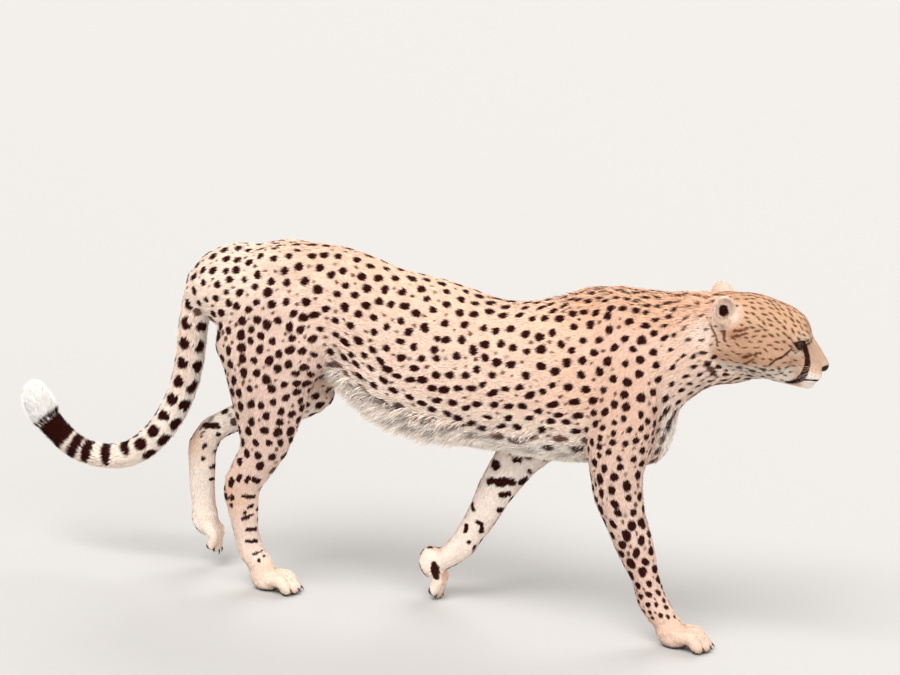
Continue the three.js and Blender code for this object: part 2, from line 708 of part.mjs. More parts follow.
// A lock is flat across its own normal, widest a third of the way out, and bends down to its tip.
function lock({ at, way, normal, length, width, thick, droop = [0, 0, 0] }) {
  const sunk = 0.3 * length;
  const along = (t) => add(add(at, way, t * length - sunk), droop, t * t);
  const rings = [
    [0, 0.7],
    [0.4, 1],
    [0.78, 0.62],
  ].map(([t, share]) => {
    const c = along(t);
    const w = unit(sub(along(t + 0.05), along(t)));
    const side = unit(cross(w, normal));
    const up = cross(side, w);
    const [a, b] = [(width / 2) * share, (thick / 2) * (1.15 - t * 0.6)];
    return [add(c, side, a), add(c, up, b), add(c, side, -a), add(c, up, -b)];
  });
  return loft(rings, along(1.12));
}

// Where a ray from inside a shape comes out of it.
function outOf(shape, from, way) {
  let t = 0;
  while (shape(add(from, way, t)) < 0 && t < 400) t += 3;
  let [low, high] = [t - 3, t];
  for (let i = 0; i < 12; i++) {
    const half = (low + high) / 2;
    if (shape(add(from, way, half)) < 0) low = half;
    else high = half;
  }
  return add(from, way, low);
}
const fuse = (solid, extra) => largest(wasm.Manifold.union([solid, ...extra]));

// The fringe under the belly and the chest: rows of locks that hang and point back, flat to the side.
const FRINGE = { step: 25, rows: [-36, 0, 36], length: 52, width: 29, thick: 7 };
function fringe(from, to) {
  const locks = [];
  for (let x = from; x < to; x += FRINGE.step)
    for (const [i, row] of FRINGE.rows.entries()) {
      const angle = rad(row + random(-5, 5));
      const shift = (i % 2) * 0.5 * FRINGE.step;
      const down = [0, Math.sin(angle), -Math.cos(angle)];
      const at = outOf(torso, [x + shift + random(-4, 4), 0, 500], down);
      const way = unit([-0.72, 0.35 * Math.sin(angle), -0.62]);
      const length = FRINGE.length * random(0.8, 1.2);
      const normal = [0, row ? Math.sign(row) : 1, -0.25];
      locks.push(lock({ at, way, normal, length, width: FRINGE.width, thick: FRINGE.thick,
        droop: [0, 0, -5] }));
    }
  return locks;
}

// The tail's long hair lies back along it, in rings that turn by half a step.
const TAIL_HAIR = { width: 28, thick: 8 };
const tailLine = spline(TAIL, 10);
function tailHair(first, last, { round, length, lift, step }) {
  const locks = [];
  let turn = 0;
  let gone = 0;
  for (let i = 1; i < tailLine.length; i++) {
    const [c, before] = [tailLine[i], tailLine[i - 1]];
    gone += Math.hypot(...sub(c.slice(0, 3), before.slice(0, 3)));
    const share = i / (tailLine.length - 1);
    if (share < first || share > last || gone < step) continue;
    gone = 0;
    turn += 180 / round;
    const way = unit(sub(c.slice(0, 3), before.slice(0, 3)));
    const side = unit(cross([0, 1, 0], way));
    for (let n = 0; n < round; n++) {
      const angle = rad(turn + (n * 360) / round + random(-10, 10));
      const out = add(side.map((v) => v * Math.cos(angle)), [0, 1, 0], Math.sin(angle));
      const at = add(c.slice(0, 3), out, c[3] - 2);
      const size = random(0.85, 1.15);
      locks.push(lock({ at, way: unit(add(way, out, lift)), normal: out, length: length * size,
        width: TAIL_HAIR.width, thick: TAIL_HAIR.thick }));
    }
  }
  return locks;
}

// A claw curves forward and down out of the end of its toe. spare widens it, for the socket it stands in.
function claw({ at, pitch, yaw, size }, { side, reach }, spare = 0) {
  const frame = turned(at, yaw, pitch);
  const line = [
    [reach - 4, 15, 3.4],
    [reach + 5, 14.5, 3],
    [reach + 11, 11, 2],
  ];
  const rings = line.map(([x, z, r], i) =>
    Array.from({ length: 5 }, (_, n) => {
      const angle = (n * Math.PI) / 2.5;
      const lean = [0.1, 0.35, 0.8][i];
      const [a, b] = [(r + spare) * 0.75 * Math.cos(angle), (r + spare) * Math.sin(angle)];
      const back = i || !spare ? 0 : -spare;
      return outside(frame, [(x + back + b * lean) * size, (side * 1.16 + a) * size, (z + b) * size]);
    }),
  );
  return loft(rings, outside(frame, [(reach + 14 + spare) * size, side * 1.17 * size, (6 - spare) * size]));
}

function eyeball(side, radius) {
  const at = outside(headFrame, eyeFrame(side).at);
  return solidOf(new THREE.SphereGeometry(radius, 14, 9).rotateX(Math.PI / 2).translate(...at));
}

// The box of an ear's free part, from its base outward.
function earBox(side, spare) {
  const frame = earFrame(side);
  const turn = (v) => outside({ ...headFrame, at: [0, 0, 0] }, v);
  const [f, s, u] = [frame.f, frame.s, frame.u].map(turn);
  const box = new THREE.BoxGeometry(44 + 2 * spare, 60 + 2 * spare, 90 + 2 * spare);
  box.translate(0, 0, EAR.base + 45);
  const m = new THREE.Matrix4().makeBasis(...[f, s, u].map((v) => new THREE.Vector3(...v)));
  box.applyMatrix4(m.setPosition(...outside(headFrame, frame.at)));
  return solidOf(box);
}

const COAT = { color: 0xd8a878, roughness: 0.85 };
const PALE = { color: 0xe9dccb, roughness: 0.9 };
const CLAW = { color: 0x3a302a, roughness: 0.4 };
const EYEBALL = { color: 0x6b4413, roughness: 0.1 };

const root = new THREE.Group();
function addNode(name, solid, look) {
  const mesh = solid.getMesh();
  const geometry = new THREE.BufferGeometry();
  geometry.setAttribute("position", new THREE.BufferAttribute(new Float32Array(mesh.vertProperties), 3));
  geometry.setIndex(new THREE.BufferAttribute(new Uint32Array(mesh.triVerts), 1));
  geometry.computeVertexNormals();
  const node = new THREE.Mesh(geometry, new THREE.MeshStandardMaterial({ metalness: 0, ...look }));
  node.name = name;
  root.add(node);
}

const REGIONS = {
  neck: { low: [740, -110, 440], high: [970, 120, 800], cell: 7, triangles: 440,
    cuts: [flip(CUT.headBack), CUT.neckBack] },
  chest: { low: [370, -130, 320], high: [870, 130, 740], cell: 8, triangles: 880,
    cuts: [flip(CUT.neckBack), CUT.chestBack, CUT.elbows] },
  abdomen: { low: [90, -130, 320], high: [430, 130, 780], cell: 9, triangles: 420,
    cuts: [flip(CUT.chestBack), CUT.bellyBack] },
  pelvis: { low: [-260, -130, 440], high: [150, 130, 770], cell: 8, triangles: 680,
    cuts: [flip(CUT.bellyBack), CUT.groin] },
  forearm_right: { limb: "foreRight", low: [620, -120, 60], high: [840, 0, 370], cell: 6, triangles: 340,
    cuts: [flip(CUT.elbows), CUT.wristRight] },
  forearm_left: { limb: "foreLeft", low: [340, 0, 60], high: [600, 120, 370], cell: 6, triangles: 340,
    cuts: [flip(CUT.elbows), CUT.wristLeft] },
  forepaw_right: { limb: "foreRight", low: [750, -110, -15], high: [950, -5, 130], cell: 3.5, triangles: 410,
    cuts: [flip(CUT.wristRight), CUT.floor] },
  forepaw_left: { limb: "foreLeft", low: [250, -5, -15], high: [420, 100, 160], cell: 3.5, triangles: 410,
    cuts: [flip(CUT.wristLeft), CUT.floor] },
  thigh_right: { limb: "hindRight", low: [-190, -130, 350], high: [140, 10, 570], cell: 7, triangles: 380,
    cuts: [flip(CUT.groin), CUT.kneeRight, RIGHT_HALF, flip(CUT.bellyBack)] },
  thigh_left: { limb: "hindLeft", low: [-190, -10, 340], high: [140, 130, 570], cell: 7, triangles: 380,
    cuts: [flip(CUT.groin), CUT.kneeLeft, LEFT_HALF, flip(CUT.bellyBack)] },
  shank_right: { limb: "hindRight", low: [-170, -120, 180], high: [90, 0, 460], cell: 6, triangles: 380,
    cuts: [flip(CUT.kneeRight), CUT.hockRight, RIGHT_HALF] },
  shank_left: { limb: "hindLeft", low: [-290, 0, 230], high: [100, 120, 470], cell: 6, triangles: 420,
    cuts: [flip(CUT.kneeLeft), CUT.hockLeft, LEFT_HALF] },
  cannon_right: { limb: "hindRight", low: [-150, -110, 50], high: [0, -5, 250], cell: 5, triangles: 320,
    cuts: [flip(CUT.hockRight), CUT.ankleRight] },
  cannon_left: { limb: "hindLeft", low: [-270, -5, 60], high: [-120, 110, 310], cell: 5, triangles: 320,
    cuts: [flip(CUT.hockLeft), CUT.ankleLeft] },
  hindpaw_right: { limb: "hindRight", low: [-110, -110, -15], high: [90, -5, 110], cell: 3.5, triangles: 410,
    cuts: [flip(CUT.ankleRight), CUT.floor] },
  hindpaw_left: { limb: "hindLeft", low: [-260, -5, 10], high: [-110, 110, 130], cell: 3.5, triangles: 410,
    cuts: [flip(CUT.ankleLeft)] },
};
const TAIL_BOXES = {
  tail_base: { low: [-290, -60, 400], high: [-120, 60, 700], cell: 6, triangles: 300,
    cuts: [CUT.rump, CUT.tailFront, CUT.tail1] },
  tail_middle: { low: [-370, -60, 180], high: [-180, 60, 460], cell: 6, triangles: 280,
    cuts: [flip(CUT.tail1), CUT.tail2] },
  tail_end: { low: [-520, -60, 170], high: [-300, 60, 300], cell: 6, triangles: 200,
    cuts: [flip(CUT.tail2), CUT.tail3] },
  tail_tip: { low: [-600, -60, 190], high: [-450, 60, 380], cell: 6, triangles: 160,
    cuts: [flip(CUT.tail3)] },
};
const LOCKS = {
  abdomen: () => fringe(160, 385),
  chest: () => fringe(430, 600),
};
const cutBy = (solid, cuts) => cuts.reduce((kept, cut) => kept.intersect(behind(cut, -GAP / 2)), solid);

for (const [name, spec] of Object.entries(REGIONS)) {
  let solid = region(spec.limb ? trunkAnd(spec.limb) : body, spec);
  if (name === "pelvis") {
    const tailCorner = behind(CUT.rump, GAP / 2).intersect(behind(CUT.tailFront, GAP / 2));
    solid = largest(solid.subtract(tailCorner));
  }
  if (LOCKS[name]) solid = largest(cutBy(fuse(solid, LOCKS[name]()), spec.cuts));
  if (name === "neck") solid = largest(solid.subtract(earBox(1, GAP)).subtract(earBox(-1, GAP)));
  if (PAWS[name]) {
    TOES.forEach((toe, i) => {
      addNode(`claw_${name}_${i + 1}`, claw(PAWS[name], toe).intersect(behind(CUT.floor, -GAP / 2)), CLAW);
      solid = solid.subtract(claw(PAWS[name], toe, GAP + 0.1));
    });
    solid = largest(solid);
  }
  addNode(name, solid, COAT);
}
for (const [name, spec] of Object.entries(TAIL_BOXES)) {
  let solid = region(trunkAndTail, spec);
  if (name === "tail_tip")
    solid = largest(cutBy(fuse(solid, tailHair(0.86, 1, { round: 5, length: 46, lift: 0.14, step: 17 })), spec.cuts));
  addNode(name, solid, name === "tail_base" ? COAT : PALE);
}

const HEAD_BOX = { low: [830, -95, 490], high: [1125, 130, 765], cell: 2.6, triangles: 2350 };
let headSolid = region(body, { ...HEAD_BOX, cuts: [CUT.headBack] });
for (const [side, word] of [[1, "left"], [-1, "right"]]) {
  const at = outside(headFrame, outside(earFrame(side), [0, 0, EAR.middle]));
  const box = { low: add(at, [-60, -60, -60]), high: add(at, [60, 60, 60]), cell: 2.6, triangles: 480 };
  addNode(`ear_${word}`, largest(region(body, box).intersect(earBox(side, 0))), COAT);
  headSolid = headSolid.subtract(earBox(side, GAP)).subtract(eyeball(side, EYE.r + 0.5));
  addNode(`eye_${word}`, eyeball(side, EYE.r), EYEBALL);
}
addNode("head", largest(headSolid), COAT);

// The origin is under the middle of the bounding box, at the level of the floor.
const bounds = new THREE.Box3().setFromObject(root);
const middle = bounds.getCenter(new THREE.Vector3());
for (const node of root.children) node.geometry.translate(-middle.x, -middle.y, -bounds.min.z);

export default root;
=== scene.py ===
import json
import math

import bmesh
import bpy
import numpy as np
from mathutils import Matrix, Vector
from mathutils.kdtree import KDTree

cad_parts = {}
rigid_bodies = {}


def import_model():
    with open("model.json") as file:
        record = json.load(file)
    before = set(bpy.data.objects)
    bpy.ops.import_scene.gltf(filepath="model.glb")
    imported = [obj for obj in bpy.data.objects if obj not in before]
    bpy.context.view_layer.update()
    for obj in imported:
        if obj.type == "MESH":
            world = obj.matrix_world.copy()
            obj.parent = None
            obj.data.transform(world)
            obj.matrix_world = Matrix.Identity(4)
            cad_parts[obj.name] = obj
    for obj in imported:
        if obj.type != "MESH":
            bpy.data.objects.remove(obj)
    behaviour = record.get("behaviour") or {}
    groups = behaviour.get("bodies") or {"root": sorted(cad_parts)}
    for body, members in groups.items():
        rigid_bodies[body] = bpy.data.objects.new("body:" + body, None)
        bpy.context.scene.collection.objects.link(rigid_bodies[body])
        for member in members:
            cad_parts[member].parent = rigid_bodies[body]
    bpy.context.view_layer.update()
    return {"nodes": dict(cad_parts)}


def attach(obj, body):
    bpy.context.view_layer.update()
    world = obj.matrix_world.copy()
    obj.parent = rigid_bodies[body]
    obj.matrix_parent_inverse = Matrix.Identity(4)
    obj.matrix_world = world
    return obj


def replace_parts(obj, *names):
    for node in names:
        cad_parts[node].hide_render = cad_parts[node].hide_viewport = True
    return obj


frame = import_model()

rng = np.random.default_rng(11)
MM = 0.001

# ---- the body's form, in millimetres
# A station is x, y, z, front or upper radius, back or lower radius, side radius.
TORSO = [
    (-178, 0, 632, 34, 50, 44), (-150, 0, 628, 62, 82, 72), (-100, 0, 622, 88, 108, 86),
    (-40, 0, 616, 106, 112, 89), (30, 0, 610, 121, 116, 86), (100, 0, 598, 129, 112, 80),
    (165, 0, 572, 136, 140, 80), (235, 0, 545, 150, 172, 88), (320, 0, 525, 155, 174, 96),
    (400, 0, 515, 146, 165, 99), (480, 0, 515, 144, 167, 98), (560, 0, 518, 160, 174, 95),
    (640, 0, 518, 178, 168, 88), (700, 0, 512, 176, 150, 76), (742, 0, 500, 130, 108, 60),
]
NECK = [
    (640, 0, 580, 114, 120, 76), (715, 1, 592, 112, 132, 74), (775, 4, 602, 110, 112, 69),
    (815, 7, 615, 103, 101, 65), (855, 10, 626, 95, 94, 62), (898, 12, 637, 91, 96, 59),
    (940, 14, 640, 74, 86, 54),
]
FORE_RIGHT = [
    (668, -42, 640, 48, 44, 22), (702, -56, 565, 60, 58, 32), (716, -65, 490, 62, 72, 38),
    (706, -68, 430, 66, 66, 41), (702, -66, 380, 60, 62, 41), (704, -64, 340, 52, 55, 39),
    (709, -62, 300, 50, 51, 37), (726, -60, 250, 42, 42, 33), (743, -59, 210, 40, 40, 30),
    (760, -58, 170, 34, 35, 27), (776, -58, 130, 27.5, 28, 24), (789, -58, 95, 28, 31, 26),
    (806, -58, 66, 29, 27, 26), (826, -58, 42, 25, 20, 24),
]
FORE_LEFT = [
    (650, 42, 635, 48, 44, 22), (662, 56, 560, 60, 58, 32), (650, 60, 490, 60, 70, 38),
    (596, 57, 425, 60, 64, 40), (530, 50, 373, 50, 58, 40), (484, 45, 331, 47, 49, 38),
    (462, 43, 298, 43, 44, 35), (433, 41, 246, 37, 38, 31), (416, 40, 207, 33, 33, 28),
    (400, 40, 172, 30, 31, 26), (386, 40, 149, 28, 29, 24), (372, 40, 122, 28, 28, 26),
    (344, 40, 94, 25, 24, 26), (320, 40, 74, 22, 20, 24),
]
HIND_RIGHT = [
    (-45, -48, 612, 88, 92, 42), (-28, -57, 525, 122, 124, 49), (-29, -61, 455, 92, 96, 48),
    (-28, -61, 402, 78, 82, 43), (-32, -60, 352, 64, 66, 36), (-36, -59, 312, 52, 53, 31),
    (-46, -58, 282, 43, 45, 27), (-62, -57, 252, 39, 43, 24), (-79, -56, 222, 37, 41, 23),
    (-80, -56, 196, 36, 41, 22), (-77, -56, 166, 33, 34, 21), (-72, -56, 136, 29, 30, 21),
    (-65, -56, 106, 26, 27, 21), (-54, -56, 76, 27, 27, 23), (-34, -56, 50, 26, 24, 25),
]
HIND_LEFT = [
    (-45, 48, 612, 88, 92, 42), (-18, 56, 525, 118, 120, 48), (6, 58, 462, 92, 92, 46),
    (18, 57, 410, 60, 78, 42), (-30, 54, 372, 46, 52, 36), (-88, 50, 345, 33, 38, 29),
    (-140, 48, 320, 27, 30, 24), (-186, 47, 290, 28, 29, 23), (-203, 46, 256, 32, 31, 22),
    (-201, 46, 215, 29, 31, 21), (-199, 46, 168, 27, 29, 21), (-194, 46, 122, 27, 27, 22),
    (-188, 46, 88, 26, 24, 24),
]
TAIL = [
    (-128, 0, 672, 34, 34, 34), (-172, 0, 648, 36, 36, 34), (-200, 0, 608, 32, 33, 32),
    (-213, 0, 560, 30, 30, 30), (-218, 1, 517, 29, 30, 29), (-221, 2, 474, 29, 29, 29),
    (-226, 3, 430, 28, 29, 28), (-237, 4, 386, 28, 28, 28), (-255, 4, 340, 28, 28, 28),
    (-282, 4, 294, 28, 27, 27), (-314, 3, 257, 27, 27, 27), (-351, 2, 232, 26, 26, 26),
    (-390, 0, 223, 25, 25, 25), (-430, -2, 224, 24, 24, 24), (-466, -4, 235, 24, 24, 24),
    (-498, -6, 259, 24, 24, 24), (-524, -7, 284, 25, 25, 25), (-541, -8, 305, 27, 27, 27),
    (-550, -9, 322, 26, 26, 26), (-554, -9, 336, 20, 20, 20),
]
# The head's place and its turn in degrees; in the head's own axes the eye, its lid and slit, and the ear.
HEAD_AT, HEAD_YAW, HEAD_PITCH = (959, 12, 645.6), 11, 17
EYE_AT, EYE_R, LID, SLIT_H, SLIT_L = (62, 34, 17), 16.5, 3.0, 7.2, 14.0
EAR_AT, EAR_LONG, EAR_WIDE, EAR_DEEP, EAR_WALL = (-80, 46, 18), 32, 25, 14, 4.5
EAR_MIDDLE = np.array([0, 0, 21])
# Each toe's way to the side and its length, and how much wider the toes stand at their tips.
TOES, TOE_SPREAD = [(-22, 54), (-8, 65), (8, 65), (22, 54)], 1.16
# Each paw's place, pitch, yaw and size.
PAWS = {
    "fore_right": ((846, -58, 0), 0, -3, 1.04), "fore_left": ((288, 40, 56), 62, 0, 0.98),
    "hind_right": ((-15, -56, 0), 0, -3, 1.0), "hind_left": ((-206, 46, 80), 52, 0, 0.98),
}
SIDES = {"left": 1, "right": -1}
# The boxes within which a form is worked out, and how far outside them its distance is still wanted.
SKULL_BOX, DETAIL_BOX = ((-110, -75, -105), (150, 75, 85)), ((-150, -100, -80), (160, 100, 100))
PAW_BOX = (-45, -40, -5), (75, 40, 60)
NEAR = 52


def unit(v):
    v = np.asarray(v, float)
    return v / np.maximum(np.linalg.norm(v, axis=-1, keepdims=True), 1e-9)


def length_of(v):
    return np.linalg.norm(v, axis=1)


def smin(a, b, k):
    """The nearer of two forms, blended over a width of k."""
    h = np.maximum(k - np.abs(a - b), 0)
    return np.minimum(a, b) - h * h / (4 * k)


def carve(a, b, k):
    """The first form with the second cut out of it."""
    return -smin(-a, b, k)


def common(a, b, k):
    return -smin(-a, -b, k)


def step(low, high, v):
    """From 0 at low to 1 at high, smoothly."""
    t = np.clip((v - low) / (high - low), 0, 1)
    return t * t * (3 - 2 * t)


class Frame:
    """An origin and three axes: forward, left and up."""

    def __init__(self, at, f, s, u):
        self.at = np.array(at, float)
        self.axes = np.array([f, s, u], float)

    def inside(self, p):
        return (p - self.at) @ self.axes.T

    def outside(self, q):
        return self.at + np.asarray(q, float) @ self.axes


def turned(at, yaw, pitch):
    a, b = math.radians(yaw), math.radians(pitch)
    f = np.array([math.cos(a) * math.cos(b), math.sin(a) * math.cos(b), -math.sin(b)])
    s = np.array([-math.sin(a), math.cos(a), 0.0])
    return Frame(at, f, s, np.cross(f, s))


def ellipsoid(at, radii):
    at, radii = np.array(at, float), np.array(radii, float)

    def shape(p):
        d = p - at
        share = np.maximum(length_of(d / radii), 1e-4)
        return length_of(d) * (share - 1) / share

    return shape


def box_away(p, low, high):
    return np.maximum(np.max(np.asarray(low) - p, axis=1), np.max(p - np.asarray(high), axis=1))


def spline(stations, gap):
    """Points about a gap apart on a smooth curve through the stations."""
    k = np.array(stations, float)
    fine = []
    for i in range(len(k) - 1):
        a, b, c, d = k[max(i - 1, 0)], k[i], k[i + 1], k[min(i + 2, len(k) - 1)]
        n = max(1, round(np.linalg.norm(c[:3] - b[:3]) / gap))
        for t in np.arange(n) / n:
            bend = 2 * a - 5 * b + 4 * c - d + t * (3 * (b - c) + d - a)
            fine.append(b + 0.5 * t * (c - a + t * bend))
    return np.array([*fine, k[-1]])


class Tube:
    """A tube with elliptical sections across its curve, and rounded ends."""

    def __init__(self, stations, gap=16):
        fine = spline(stations, gap)
        c, r = fine[:, :3], fine[:, 3:6]
        ends = np.arange(len(c))
        along = unit(c[np.minimum(ends + 1, len(c) - 1)] - c[np.maximum(ends - 1, 0)])
        side = unit(np.array([0, 1, 0]) - along * along[:, 1:2])
        self.c, self.r, self.along, self.side, self.front = c, r, along, side, np.cross(along, side)
        reach = r.max(1, keepdims=True)
        self.low, self.high = (c - reach).min(0), (c + reach).max(0)
        self.way = c[1:] - c[:-1]
        self.mark = np.r_[0, np.cumsum(length_of(self.way))]

    def __call__(self, p, more=False):
        out = box_away(p, self.low, self.high)
        near = np.nonzero(out <= NEAR)[0]
        q = p[near]
        best = np.full(len(q), float(NEAR))
        where, which = np.zeros(len(q)), np.zeros(len(q), int)
        for i, way in enumerate(self.way):
            off = q - (self.c[i] + way / 2)
            room = np.linalg.norm(way) / 2 + self.r[i:i + 2].max() + NEAR
            part = np.nonzero((off * off).sum(1) < room * room)[0]
            d = q[part] - self.c[i]
            t = np.clip(d @ way / (way @ way), 0, 1)
            d = d - t[:, None] * way
            s = 1 - t
            a = s * (d @ self.front[i]) + t * (d @ self.front[i + 1])
            b = s * (d @ self.side[i]) + t * (d @ self.side[i + 1])
            c = s * (d @ self.along[i]) + t * (d @ self.along[i + 1])
            r = s[:, None] * self.r[i] + t[:, None] * self.r[i + 1]
            front = np.where(a > 0, r[:, 0], r[:, 1])
            share = np.maximum(np.sqrt((a / front) ** 2 + (b / r[:, 2]) ** 2
                                       + (c / np.minimum(front, r[:, 2])) ** 2), 1e-4)
            value = np.sqrt((d * d).sum(1)) * (share - 1) / share
            closer = value < best[part]
            part = part[closer]
            best[part] = value[closer]
            if more:
                where[part], which[part] = t[closer], i
        out[near] = best
        if not more:
            return out
        # Also the way along the tube, the distance gone and the angle round it, at every point.
        way = np.tile(self.along[0], (len(p), 1))
        gone, angle = np.zeros(len(p)), np.zeros(len(p))
        t = where[:, None]
        way[near] = unit((1 - t) * self.along[which] + t * self.along[which + 1])
        gone[near] = self.mark[which] + where * (self.mark[which + 1] - self.mark[which])
        d = q - ((1 - t) * self.c[which] + t * self.c[which + 1])
        angle[near] = np.arctan2((d * self.side[which]).sum(1), (d * self.front[which]).sum(1))
        return out, way, gone, angle


head_frame = turned(HEAD_AT, HEAD_YAW, HEAD_PITCH)


def eye_frame(side):
    f = unit([0.74, side * 0.65, 0.1])
    s = unit(np.cross([side * -0.12, 0, 1], f))
    return Frame((EYE_AT[0], side * EYE_AT[1], EYE_AT[2]), f, s, np.cross(f, s))


def ear_frame(side):
    u = unit([-0.6, side * 0.38, 0.7])
    opening = np.array([0.5, side * 0.86, 0.05])
    f = unit(opening - u * (opening @ u))
    return Frame((EAR_AT[0], side * EAR_AT[1], EAR_AT[2]), f, np.cross(u, f), u)


def twins(at, radii):
    """Two ellipsoids that mirror each other across the body's middle."""
    left, right = ellipsoid(at, radii), ellipsoid((at[0], -at[1], at[2]), radii)
    return lambda p: np.minimum(left(p), right(p))


# The skull's forms in the head's own axes, each with the width over which it blends with those before it.
skull = [
    (ellipsoid((-14, 0, 14), (92, 60, 63)), 0),
    (ellipsoid((38, 0, 28), (52, 46, 45)), 18),
    (twins((61, 30, 34), (25, 18, 15)), 14),
    (twins((14, 36, -20), (56, 33, 46)), 20),
    (twins((-42, 36, -22), (46, 30, 48)), 22),
    (ellipsoid((84, 0, -14), (42, 33, 34)), 18),
    (Tube([(70, 0, 24, 22, 22, 22), (104, 0, 6, 17, 17, 17), (130, 0, -10, 13, 13, 15)], 9), 12),
    (twins((112, 16, -34), (27, 18, 23)), 8),
    (ellipsoid((136, 0, -15), (11, 14.5, 12)), 5),
    (Tube([(0, 0, -52, 30, 28, 46), (50, 0, -58, 24, 20, 38), (104, 0, -59, 15, 13, 21)], 12), 14),
    (ellipsoid((118, 0, -56), (16, 18, 15)), 8),
]
ears = {side: ear_frame(side) for side in (1, -1)}
eyes = {side: eye_frame(side) for side in (1, -1)}
ear_shell = ellipsoid(EAR_MIDDLE, (EAR_DEEP, EAR_WIDE, EAR_LONG))
ear_hollow = ellipsoid(EAR_MIDDLE + [5, 0, 2], (EAR_DEEP, EAR_WIDE - EAR_WALL, EAR_LONG - EAR_WALL))


def skull_at(p):
    q = head_frame.inside(p)
    out = box_away(q, *SKULL_BOX)
    near = out <= NEAR
    d = None
    for form, k in skull:
        v = form(q[near])
        d = v if d is None else smin(d, v, k)
    out[near] = d
    return out


def mouth_line(q):
    """The height of the line between the lips, above the head's own origin."""
    (front, high), (corner, low), sag = (134, -41), (86, -62), 4
    t = (front - q[:, 0]) / (front - corner)
    return high + (low - high) * t + sag * np.sin(np.pi * np.clip(t, 0, 1))


def head_details(p, d):
    """Ears, mouth, nose and lids, on the form that already lies in by the coat's depth."""
    every = head_frame.inside(p)
    near = box_away(every, *DETAIL_BOX) <= 0
    if not near.any():
        return d
    q, e = every[near], d[near]
    for frame_ in ears.values():
        r = frame_.inside(q)
        e = smin(e, common(ear_shell(r), r[:, 0] - 6, 6), 9)
        e = carve(e, common(ear_hollow(r), 2 - r[:, 2], 5), 3)
    # the lips meet in a line, and a groove divides the upper one under the nose
    x, y, z = q.T
    line = np.abs(z - mouth_line(q)) * 0.8
    e = carve(e, np.max([line - 0.7, 84 - x, -e - 4.5], axis=0), 2.2)
    e = carve(e, np.max([np.abs(y) - 0.5, 128 - x, z + 24, -z - 42, -e - 2], axis=0), 1.6)
    # each nostril is a round hole with a slit that runs out to the side
    for side in (1, -1):
        comma = np.stack([x, y * side, z], 1)
        e = carve(e, ellipsoid((146, 6.6, -14), (6, 3.4, 3.0))(comma), 1.2)
        e = carve(e, ellipsoid((140, 12.2, -11.5), (7, 2.2, 1.3))(comma), 1.5)
    for frame_ in eyes.values():
        r = frame_.inside(q)
        far = length_of(r)
        close = far < 3 * EYE_R
        v = smin(e, far - EYE_R - LID + 0.9, 6)
        rim = SLIT_H * (1 - (r[:, 1] / SLIT_L) ** 2)
        # the fold above the upper lid and the one below the lower
        for fold, deep in ((r[:, 2] - rim - 6, 1.8), (-r[:, 2] - rim - 6.5, 1.2)):
            crease = np.max([np.abs(fold) - 0.4, np.abs(r[:, 1]) - 15, 5 - r[:, 0], -v - deep], axis=0)
            v = carve(v, crease, 2.5)
        # the slit's floor lies inside the eyeball, so that no thin shell is left between them
        floor = EYE_R - 2.2 - far
        slit = np.max([(np.abs(r[:, 2]) - rim) * 0.7, 4 - r[:, 0], far - EYE_R - 12, floor], axis=0)
        v = carve(v, slit, 0.8)
        e = np.where(close, v, e)
    d = d.copy()
    d[near] = e
    return d


torso, neck, tail = Tube(TORSO, 24), Tube(NECK, 20), Tube(TAIL, 14)
# Forms of the chest, the shoulders and the hips, each with the width over which it blends in.
muscles = [
    (ellipsoid((735, 0, 425), (60, 58, 74)), 40),
    (twins((672, 40, 640), (36, 26, 62)), 26),
    (twins((-20, 46, 690), (60, 26, 28)), 30),
]


def paw(at, pitch, yaw, size):
    """A paw's form and its frame."""
    frame_ = turned(at, yaw, pitch)
    main, back = ellipsoid((-2, 0, 11), (26, 25, 14)), ellipsoid((-12, 0, 29), (30, 26, 24))
    toes = [Tube([(8, y * 0.8, 26, 14, 14, 12), (34, y * 1.02, 27, 13, 13, 12),
                  (x - 6, y * TOE_SPREAD, 9.5, 11.5, 11.5, 10.5)], 10) for y, x in TOES]

    def shape(p):
        q = frame_.inside(p) / size
        out = box_away(q, *PAW_BOX)
        near = out <= NEAR
        q = q[near]
        d = smin(main(q), back(q), 14)
        for toe in toes:
            d = smin(d, toe(q), 5)
        out[near] = d
        return out * size

    return shape, frame_


paws = {name: paw(*spec) for name, spec in PAWS.items()}
legs = {
    "fore_right": Tube(FORE_RIGHT, 26), "fore_left": Tube(FORE_LEFT, 26),
    "hind_right": Tube(HIND_RIGHT, 26), "hind_left": Tube(HIND_LEFT, 26),
}


# How far the skin lies inside the solids, and by how much less on the face and the lower legs.
COAT_DEPTH, FACE_LESS, LIMB_LESS = 2.6, 1.7, 1.3
# The widths over which the neck, the head, the limbs and the paws blend in.
NECK_BLEND, HEAD_BLEND, LIMB_BLEND, PAW_BLEND = 50, 16, 26, 12


def coat_depth(p):
    face = step(-100, 0, head_frame.inside(p)[:, 0])
    limb = step(420, 250, p[:, 2]) * step(-120, -60, p[:, 0])
    return np.minimum(COAT_DEPTH - FACE_LESS * face, COAT_DEPTH - LIMB_LESS * limb)


def skin_form(p):
    """The distance of each point from the skin, less than 0 inside it."""
    depth = coat_depth(p)
    d = smin(torso(p), neck(p), NECK_BLEND)
    for form, k in muscles:
        d = smin(d, form(p), k)
    core = head_details(p, smin(d, skull_at(p), HEAD_BLEND) + depth)
    d = smin(core, tail(p) + depth, LIMB_BLEND)
    for name, leg in legs.items():
        limb = smin(leg(p), paws[name][0](p), PAW_BLEND)
        d = np.minimum(d, smin(core, limb + depth, LIMB_BLEND))
    return np.maximum(d, 1 - p[:, 2])


# The frame's origin is elsewhere: an eye's centre says by how much.
def node_centre(name):
    node_ = bpy.data.objects[name]
    at = np.array([list(node_.matrix_world @ v.co) for v in node_.data.vertices])
    return (at.min(0) + at.max(0)) / 2


